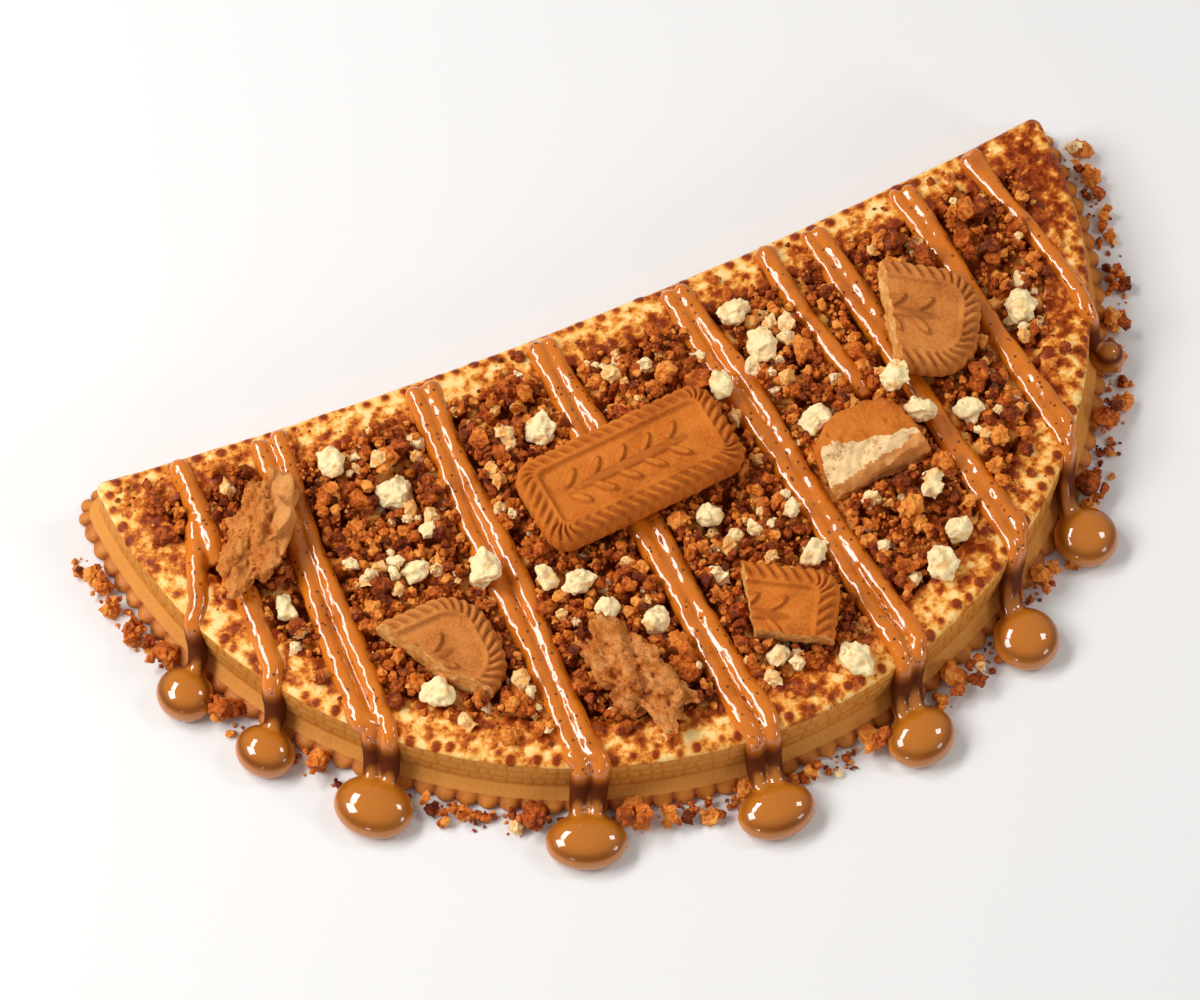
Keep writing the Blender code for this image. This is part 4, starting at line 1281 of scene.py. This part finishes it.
def biscuit_material(name, light, brown, dark):
    """Matt caramel-brown biscuit: fine-grained, and darker in the hollows of its rope, partly
    browner and partly painted shade, with painted shade round its sprig.
    """
    made, tree, shader = new_material(name, Roughness=0.75, Specular_IOR_Level=0.15)
    place = object_place(tree)
    patches, grain = grained(tree, place, BISCUIT_GRAIN)
    pinholes = times(tree, dotted(tree, place, BISCUIT_PINHOLES), PINHOLE_SHADE)
    colour = biscuit_tone(tree, patches, grain, ((0.30, dark), (0.50, brown), (0.70, light)))
    # Painted shade, with some browning, in the rope's grooves, and painted shade round the sprig
    colour = blend(tree, times(tree, attribute(tree, "hollow"), HOLLOW_BROWNING_AND_SHADE), colour, dark)
    colour = blend(tree, pinholes, colour, dark)
    height = maths(tree, "SUBTRACT", grain, pinholes)
    finish_with(tree, shader, colour, height, BISCUIT_GRAIN_DEPTH)
    return made


def inside_material(name, pale, tan, dark, kept=INSIDE_KEPT):
    """Broken biscuit: paler and open, with small dark holes."""
    made, tree, shader = new_material(name, Roughness=0.78, Specular_IOR_Level=0.15)
    place = object_place(tree)
    patches, grain = grained(tree, place, INSIDE_GRAIN)
    holes = dotted(tree, place, (*INSIDE_HOLES, kept))
    colour = biscuit_tone(tree, patches, grain, ((0.34, dark), (0.47, tan), (0.64, pale)))
    colour = blend(tree, times(tree, holes, HOLE_SHADE), colour, dark)
    finish_with(tree, shader, colour, maths(tree, "SUBTRACT", grain, holes), INSIDE_GRAIN_DEPTH)
    return made


biscuit_crust = biscuit_material("biscuit_crust", BISCUIT_LIGHT, BISCUIT_BROWN, BISCUIT_DARK)
broken_crust = biscuit_material("broken_crust", BROKEN_LIGHT, BROKEN_BROWN, BROKEN_DARK)
biscuit_inside = inside_material("biscuit_inside", INSIDE_PALE, INSIDE_TAN, BISCUIT_BROWN)
biscuit_rubble = inside_material("biscuit_rubble", RUBBLE_LIGHT, RUBBLE_TAN, BISCUIT_DARK)
biscuit_crumbly = inside_material("biscuit_crumbly", SIDE_TAN, RUBBLE_TAN, BISCUIT_DARK)
biscuit_side = inside_material("biscuit_side", SIDE_TAN, BROKEN_LIGHT, BROKEN_BROWN, 0.15)
biscuit_filling = inside_material("biscuit_filling", FILLING_PALE, FILLING_PALE, FILLING_TAN, 0.20)

for name, kind, middle, turn, _, tilt in BISCUITS:
    finishes = [biscuit_crust]
    if kind in LUMPS:
        made = rubble(*LUMPS[kind])
        finishes = [biscuit_rubble if kind == "slab" else biscuit_crumbly, biscuit_side]
    elif kind in ("crescent", "end"):
        made = biscuit(BISCUIT_LENGTH, WIDE_BISCUIT_WIDTH, ROUND_END_RADIUS)
    elif kind == "wedge":
        made = biscuit(BISCUIT_LENGTH, BISCUIT_WIDTH, ROUND_END_RADIUS, pressed=False)
    else:
        made = biscuit(BISCUIT_LENGTH, BISCUIT_WIDTH, CORNER_RADIUS)
    if kind in BREAKS:
        finishes = [biscuit_crust if kind == "corner" else broken_crust, biscuit_inside]
        if kind == "wedge":
            finishes = [biscuit_crust, biscuit_side, biscuit_filling]
        made = break_biscuit(made, BREAKS[kind], finishes)
    if kind == "wedge":
        for face in made.faces:
            middle_of = face.calc_center_median()
            if middle_of.z < FILLING_FOOT[0] + FILLING_FOOT[1] * middle_of.y:
                face.material_index = min(face.material_index, 1)
        roughen(made, FILLED_ROUGHNESS)
        bmesh.ops.scale(made, vec=(1.0, 1.0, FILLED_STRETCH), verts=made.verts)
    turned = Euler((math.radians(tilt[0]), math.radians(tilt[1]), math.radians(turn)))
    bmesh.ops.rotate(made, matrix=turned.to_matrix(), verts=made.verts)
    lay_like(name, made)
    piece = add_piece(name + "_baked", made, finishes[0], at=(0.0, 0.0, 0.0))
    for finish in finishes[1:]:
        piece.data.materials.append(finish)
    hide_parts(name)


# Cream chunks.
# Broken bits of pale filling, chalky and angular, flecked with crumbs. Each is its own
# solid's form, made finer.

CHUNK_COUNT = 25
CHUNK_FACETS = 5
CHUNK_SHAVING = (0.80, 0.96)
CREAM_PALE = (0.99, 0.77, 0.42, 1.0)
CREAM_WARM = (0.92, 0.52, 0.17, 1.0)
CREAM_FLECK = (0.55, 0.20, 0.035, 1.0)
CREAM_GRAIN = (0.0032, 0.0006)
CREAM_FLECKS = (0.0018, 0.17, 0.16)
CREAM_GRAIN_DEPTH = 0.0002
WARM_FADE = (0.50, 0.72)
FLECK_SHADE = 0.8
# A chunk's edges longer than this are split, so many times at most
CHUNK_EDGE = 0.0005
CHUNK_SPLITS = 4
CHUNK_ROUGHNESS = ((0.0030, 0.0008), (0.0013, 0.00045), (0.0006, 0.0002))
CHUNK_PITS = ((0.0026, 0.0013),)


def cream_material():
    """Pale filling: soft and chalky, warmer in patches, flecked with biscuit."""
    made, tree, shader = new_material("cream_filling", Roughness=0.55, Specular_IOR_Level=0.35,
                                      Subsurface_Weight=0.30, Subsurface_Scale=0.0025,
                                      Subsurface_Radius=(1.0, 0.55, 0.22))
    place = object_place(tree)
    patches, grain = grained(tree, place, CREAM_GRAIN)
    flecks = times(tree, dotted(tree, place, CREAM_FLECKS), FLECK_SHADE)
    colour = blend(tree, between(tree, patches, *WARM_FADE), CREAM_PALE, CREAM_WARM)
    colour = blend(tree, flecks, colour, CREAM_FLECK)
    finish_with(tree, shader, colour, grain, CREAM_GRAIN_DEPTH)
    return made


def shave(bm, draw):
    """Break flat facets off a chunk."""
    middle = sum((v.co for v in bm.verts), Vector()) / len(bm.verts)
    for _ in range(CHUNK_FACETS):
        away = Vector([draw.gauss(0.0, 1.0) for _ in range(3)]).normalized()
        reach = max((v.co - middle).dot(away) for v in bm.verts) * draw.uniform(*CHUNK_SHAVING)
        everything = bm.verts[:] + bm.edges[:] + bm.faces[:]
        cut = bmesh.ops.bisect_plane(bm, geom=everything, dist=0.000001, clear_outer=True,
                                     plane_co=middle + away * reach, plane_no=away)
        edges = [e for e in cut["geom_cut"] if isinstance(e, bmesh.types.BMEdge)]
        bmesh.ops.triangle_fill(bm, use_beauty=True, edges=edges)


cream = cream_material()
draw = random.Random(6)
for number in range(1, CHUNK_COUNT + 1):
    node = f"cream_chunk_{number:02d}"
    made = bmesh.new()
    made.from_mesh(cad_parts[node].data)
    bmesh.ops.remove_doubles(made, verts=made.verts, dist=0.00001)
    shave(made, draw)
    bmesh.ops.remove_doubles(made, verts=made.verts, dist=0.00005)
    bmesh.ops.triangulate(made, faces=made.faces)
    for _ in range(CHUNK_SPLITS):
        long_edges = [e for e in made.edges if e.calc_length() > CHUNK_EDGE]
        bmesh.ops.subdivide_edges(made, edges=long_edges, cuts=1)
        bmesh.ops.triangulate(made, faces=made.faces)
    bmesh.ops.recalc_face_normals(made, faces=made.faces)
    roughen(made, CHUNK_ROUGHNESS, CHUNK_PITS)
    piece = add_piece(f"cream_{number:02d}", made, cream, at=(0.0, 0.0, 0.0))
    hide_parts(node)


# Crumbs.
# Crushed biscuit lies over the ribs and in the pockets, with some spilt round the foot.
# The stones come first, where the solid has them. The rest are dropped one by one on a
# height map of what is already there, so that each rests on what is under it.

CRUMB_RADIUS = (0.0025, 0.0044)
CRUMB_JAG = (0.78, 1.22)
CRUMB_STRETCH = ((0.85, 1.25), (0.8, 1.1), (0.7, 0.95))
CRUMB_SPACING = 1.25
CRUMB_TRIES = 4000
CRUMB_COUNT = 112
CRUMB_HEIGHT = (0.0148, 0.0168)
RIB_CRUMBS = 0.45
RIM_CRUMBS = 0.22
BACK_RIM_CRUMBS = 0.60
FOOT_REACH = 0.0047
SPILL_REACH = 0.0125
FOOT_CRUMB_RADIUS = 0.0042
FOOT_CRUMB_ANGLES = (-161, -152, -141, -118, -108, -96, -82, -71, -56, -44, -36, -24)
HEAP_CELL = 0.0005
HEAP_WIDE = (-0.155, 0.155)
HEAP_DEEP = (-0.170, 0.018)
HEAP_TOP = 0.0196
# Kinds of crumb: name, how many, radius range, shapes, times each face is split, tones
# and the share spilt round the foot
KINDS = (
    ("crumbs_large", 460, (0.0018, 0.0034), 12, 3, (0.12, 0.85), 0.045),
    ("crumbs_pale", 280, (0.0012, 0.0028), 8, 2, (0.45, 0.95), 0.02),
    ("crumbs_mid", 2100, (0.0009, 0.0018), 12, 1, (0.12, 0.85), 0.045),
    ("crumbs_fine", 4500, (0.0003, 0.0009), 8, 0, (0.12, 0.85), 0.045),
)
# Tones of the stones on the field and round the foot
STONE_TONES = (0.25, 0.75)
FOOT_STONE_TONES = (0.35, 0.85)
STONE_CUTS = 4
FOOT_STONE_SIZES = (0.75, 1.1)
STONE_SEAT = 0.7
CRUMB_SEAT = 0.5
# Where the crumbs are spilt: degrees round the arc, gap to the foot, mean way out, height
SPILL_ANGLES = (-176, -2)
SPILL_GAP = 0.0012
SPILL_SPREAD = 0.0034
SPILL_HEIGHT = 0.004
RIM_GAP = 0.0015
TABLE_GAP = 0.0001
TOPPING_GAP = 0.0002
SMALL_BIAS = 1.6
SHAPE_SPACING = 7.0
# Noise of a stone's surface as shares of its radius: wave lengths and depths, then pits
CRAG_WAVES = ((0.9, 0.30), (0.35, 0.22))
CRAG_PITS = (0.6, 0.50)
CRUMB_GRAIN = (0.003, 0.0007)
# Weight of the patches and of the grain in a crumb's tone
CRUMB_MOTTLE = (1.1, 0.9)
CRUMB_GRAIN_DEPTH = 0.0004
CRUMB_TAN = (0.88, 0.35, 0.062, 1.0)
CRUMB_ORANGE = (0.68, 0.175, 0.017, 1.0)
CRUMB_RED = (0.42, 0.075, 0.007, 1.0)
CRUMB_DARK = (0.13, 0.018, 0.003, 1.0)
# Cream chunks that the crumbs keep clear of: x, y, radius
CHUNKS = (
    (-0.078, -0.022, 0.0056), (-0.066, -0.035, 0.0054), (-0.0245, -0.034, 0.0048),
    (-0.104, -0.053, 0.0042), (-0.0785, -0.092, 0.0052), (-0.0695, -0.0585, 0.0042),
    (-0.0545, -0.0660, 0.0052), (-0.0405, -0.0735, 0.0036), (-0.0335, -0.0785, 0.0042),
    (-0.0300, -0.0880, 0.0038), (-0.0205, -0.0960, 0.0042), (0.0045, -0.0745, 0.0040),
    (0.0350, -0.0240, 0.0046), (0.0375, -0.0355, 0.0052), (0.0415, -0.0600, 0.0050),
    (0.0240, -0.0955, 0.0036), (0.0215, -0.1262, 0.0044), (0.0635, -0.0600, 0.0048),
    (0.0660, -0.0715, 0.0042), (0.0785, -0.0735, 0.0044), (0.0525, -0.1115, 0.0048),
    (0.0605, -0.1050, 0.0050), (0.1045, -0.0520, 0.0052), (0.0040, -0.1180, 0.0034),
    (0.0225, -0.0430, 0.0036),
)


def near_caramel(point, margin):
    """Whether a place lies on the caramel, or within the margin of it."""
    for start_x, end_x, strands, radius, _ in STREAMS:
        share = point.y / edge_point(end_x).y
        middle = start_x + (end_x - start_x) * share
        if abs(point.x - middle) < radius + STRAND_SPREAD * (strands - 1) + margin:
            return True
    for start, end, radius, _ in SHORT_RUNS:
        line = Vector(end) - Vector(start)
        share = min(1.0, max(0.0, (point - Vector(start)).dot(line) / line.length_squared))
        if (point - Vector(start) - line * share).length < radius + margin:
            return True
    return False


def on_topping(point, margin):
    """Whether a place lies under a biscuit or a cream chunk, or within the margin of one."""
    for _, _, middle, turn, half, _ in BISCUITS:
        offset = Matrix.Rotation(-math.radians(turn), 2) @ (point - Vector(middle))
        share = Vector((offset.x / (half[0] + margin), offset.y / (half[1] + margin)))
        if share.length < 1:
            return True
    return any((point - Vector((x, y))).length < radius + margin for x, y, radius in CHUNKS)


def stone(draw, radius):
    """The jagged stone that the solid has, drawn in the same order."""
    bm = bmesh.new()
    bmesh.ops.create_icosphere(bm, subdivisions=1, radius=radius)
    for vert in bm.verts:
        vert.co *= draw.uniform(*CRUMB_JAG)
    size = [draw.uniform(*span) for span in CRUMB_STRETCH]
    bmesh.ops.scale(bm, vec=size, verts=bm.verts)
    turn = Euler([draw.uniform(0, math.tau) for _ in range(3)]).to_matrix()
    bmesh.ops.rotate(bm, matrix=turn, verts=bm.verts)
    return bm


def craggy(bm, radius, cuts):
    """Split a stone finer and break up its surface."""
    if cuts:
        bmesh.ops.subdivide_edges(bm, edges=bm.edges, cuts=cuts, use_grid_fill=True)
    bmesh.ops.recalc_face_normals(bm, faces=bm.faces)
    waves = [(radius * size, radius * depth) for size, depth in CRAG_WAVES]
    roughen(bm, waves, ((radius * CRAG_PITS[0], radius * CRAG_PITS[1]),))


def mesh_arrays(bm):
    """Corners and triangles of a mesh as arrays."""
    bmesh.ops.triangulate(bm, faces=bm.faces)
    bm.verts.index_update()
    corners = np.array([v.co[:] for v in bm.verts])
    triangles = np.array([[v.index for v in f.verts] for f in bm.faces])
    bm.free()
    return corners, triangles


def join_stones(name, stones, finish):
    """One mesh of many stones, each given as its corners, triangles and tone."""
    starts = np.cumsum([0] + [len(corners) for corners, _, _ in stones[:-1]])
    corners = np.concatenate([corners for corners, _, _ in stones])
    triangles = np.concatenate([faces + start for (_, faces, _), start in zip(stones, starts)])
    tones = np.concatenate([np.full(len(corners), tone) for corners, _, tone in stones])
    mesh = bpy.data.meshes.new(name)
    mesh.from_pydata(corners + np.array(EDGE_MIDDLE), [], triangles)
    mesh.attributes.new("tone", "FLOAT", "POINT").data.foreach_set("value", tones)
    mesh.shade_flat()
    mesh.materials.append(finish)
    piece = bpy.data.objects.new(name, mesh)
    bpy.context.collection.objects.link(piece)
    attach(piece, "root")
    return piece


def crumb_material(name, *colours):
    """Crushed biscuit: each crumb has its own tone, with lighter and darker grains."""
    made, tree, shader = new_material(name, Roughness=0.55, Specular_IOR_Level=0.2)
    place = object_place(tree)
    patches, grain = grained(tree, place, CRUMB_GRAIN)
    shade = weighted(tree, attribute(tree, "tone"),
                     (maths(tree, "SUBTRACT", patches, 0.5), CRUMB_MOTTLE[0]),
                     (maths(tree, "SUBTRACT", grain, 0.5), CRUMB_MOTTLE[1]))
    finish_with(tree, shader, colour_ramp(tree, shade, colours), grain, CRUMB_GRAIN_DEPTH)
    return made


brown_crumb = crumb_material("crumb_brown", (0.10, CRUMB_DARK), (0.38, CRUMB_RED),
                             (0.62, CRUMB_ORANGE), (0.92, CRUMB_TAN))
pale_crumb = crumb_material("crumb_pale", (0.10, CRUMB_ORANGE), (0.35, CRUMB_TAN),
                            (0.60, CREAM_WARM), (0.85, CREAM_PALE))

heap_x = np.arange(*HEAP_WIDE, HEAP_CELL)
heap_y = np.arange(*HEAP_DEEP, HEAP_CELL)
map_x, map_y = np.meshgrid(heap_x, heap_y, indexing="ij")
map_margin = margin_of(map_x, map_y)
heap = top_height(map_x.ravel(), map_y.ravel())[0].reshape(map_x.shape)
heap = np.where(map_margin < RIM_WIDTH, TOP_HEIGHT, heap)
heap = np.where(map_margin < 0.0, 1.0, heap)
heap = np.where(map_margin < -FOOT_REACH - 0.0006, 0.0, heap)

cover = bmesh.new()
for node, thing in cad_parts.items():
    if node != "waffle":
        cover.from_mesh(thing.data)
cover_tree = BVHTree.FromBMesh(cover)
cover.free()


def ceiling(x, y, radius):
    """Height of the lowest topping over a crumb, or a great height."""
    lowest = 1.0
    for dx, dy in ((0, 0), (1, 0), (-1, 0), (0, 1), (0, -1)):
        foot = Vector((x + dx * radius * 0.8, y + dy * radius * 0.8, -0.01)) + EDGE_MIDDLE
        hit = cover_tree.ray_cast(foot, Vector((0.0, 0.0, 1.0)))[0]
        if hit:
            lowest = min(lowest, hit.z)
    return lowest


def heap_patch(x, y, radius):
    """The part of the height map under a crumb, and each cell's distance from it."""
    i = round((x - HEAP_WIDE[0]) / HEAP_CELL)
    j = round((y - HEAP_DEEP[0]) / HEAP_CELL)
    n = int(radius / HEAP_CELL) + 1
    window = (slice(i - n, i + n + 1), slice(j - n, j + n + 1))
    return heap[window], np.hypot(map_x[window] - x, map_y[window] - y)


def rest_height(x, y, radius):
    """Height of what lies under a crumb."""
    patch, far = heap_patch(x, y, radius)
    under = patch[far < max(0.7 * radius, HEAP_CELL)]
    return under.mean() + 0.5 * (under.max() - under.mean())


def raise_heap(x, y, radius, height):
    """Add a crumb to the height map."""
    patch, far = heap_patch(x, y, radius)
    dome = height + 0.75 * np.sqrt(np.maximum(radius ** 2 - far ** 2, 0.0))
    np.copyto(patch, np.where(far < radius, np.maximum(patch, dome), patch))


draw = random.Random(21)
tint = random.Random(4)
stones = []
placed = []
for _ in range(CRUMB_TRIES):
    point = Vector((draw.uniform(-RADIUS, RADIUS), draw.uniform(-RADIUS, 0.0)))
    radius = draw.uniform(*CRUMB_RADIUS)
    crowded = any((point - other).length < CRUMB_SPACING * (radius + size)
                  for other, size in placed)
    if len(placed) == CRUMB_COUNT:
        break
    if crowded or margin_of(point.x, point.y) < RIM_WIDTH * 0.75 + radius:
        continue
    if near_caramel(point, radius * 0.4) or on_topping(point, radius * 0.9):
        continue
    placed.append((point, radius))
    made = stone(draw, radius)
    height = draw.uniform(*CRUMB_HEIGHT)
    craggy(made, radius, STONE_CUTS)
    bmesh.ops.translate(made, vec=(*point, height), verts=made.verts)
    stones.append((*mesh_arrays(made), tint.uniform(*STONE_TONES)))
    raise_heap(point.x, point.y, radius, height)
for angle in FOOT_CRUMB_ANGLES:
    radius = FOOT_CRUMB_RADIUS * draw.uniform(*FOOT_STONE_SIZES)
    made = stone(draw, radius)
    height = radius * STONE_SEAT
    reach = RADIUS + FOOT_REACH + height
    turn = math.radians(angle)
    point = Vector((reach * math.cos(turn), reach * math.sin(turn)))
    craggy(made, radius, STONE_CUTS)
    bmesh.ops.translate(made, vec=(*point, height), verts=made.verts)
    for vert in made.verts:
        vert.co.z = max(TABLE_GAP, vert.co.z)
    stones.append((*mesh_arrays(made), tint.uniform(*FOOT_STONE_TONES)))
    raise_heap(point.x, point.y, radius, height)
join_stones("crumb_stones", stones, brown_crumb)


def crumb_shapes(count, cuts):
    """A few stones of radius 1 that the small crumbs share."""
    shapes = []
    shaping = random.Random(13 + cuts)
    for _ in range(count):
        made = stone(shaping, 1.0)
        away = Vector((SHAPE_SPACING * len(shapes), 0.0, 0.0))
        bmesh.ops.translate(made, vec=away, verts=made.verts)
        craggy(made, 1.0, cuts)
        bmesh.ops.translate(made, vec=-away, verts=made.verts)
        shapes.append(mesh_arrays(made))
    return shapes


def crumb_place(draw, radius, spill):
    """A place for a crumb: on the field, now and then on the rim, or round the foot."""
    if draw.random() < spill:
        angle = math.radians(draw.uniform(*SPILL_ANGLES))
        reach = RADIUS + FOOT_REACH + radius + SPILL_GAP + draw.expovariate(1 / SPILL_SPREAD)
        return reach * math.cos(angle), reach * math.sin(angle)
    while True:
        x = draw.uniform(-RADIUS, RADIUS)
        y = draw.uniform(-RADIUS, 0.0)
        margin = margin_of(x, y)
        if margin > RIM_WIDTH + 0.3 * radius:
            on_rib = ribs_at(np.array([x]), np.array([y]), RIB_FLUTE)[0][0] > 0.5
            if not on_rib or draw.random() < RIB_CRUMBS:
                return x, y
        often = BACK_RIM_CRUMBS if y > FIRST_RIB else RIM_CRUMBS
        if margin > RIM_GAP + radius and draw.random() < often * (margin / RIM_WIDTH) ** 2:
            return x, y


def scatter(name, count, radii, shape_count, cuts, tones, spill, seed, finish):
    """Drop one kind of crumb over the waffle and round its foot."""
    draw = random.Random(seed)
    shapes = crumb_shapes(shape_count, cuts)
    stones = []
    for _ in range(count * 3):
        if len(stones) == count:
            break
        radius = radii[0] + (radii[1] - radii[0]) * draw.random() ** SMALL_BIAS
        x, y = crumb_place(draw, radius, spill)
        turn = Euler([draw.uniform(0, math.tau) for _ in range(3)]).to_matrix()
        tone = draw.uniform(*tones)
        corners, triangles = shapes[draw.randrange(shape_count)]
        outside = math.hypot(x, y) > RADIUS
        if math.hypot(x, y) > RADIUS + SPILL_REACH:
            continue
        if near_caramel(Vector((x, y)), radius * 0.1) and not outside:
            continue
        height = rest_height(x, y, radius) + CRUMB_SEAT * radius
        if height > (SPILL_HEIGHT if outside else HEAP_TOP) + radius:
            continue
        if height + radius > ceiling(x, y, radius) - TOPPING_GAP:
            continue
        raise_heap(x, y, radius, height)
        spread = corners @ np.array(turn).T * radius + np.array((x, y, height))
        spread[:, 2] = np.maximum(spread[:, 2], TABLE_GAP)
        stones.append((spread, triangles, tone))
    join_stones(name, stones, finish)


for number, kind in enumerate(KINDS):
    scatter(*kind, 31 + number, pale_crumb if kind[0] == "crumbs_pale" else brown_crumb)
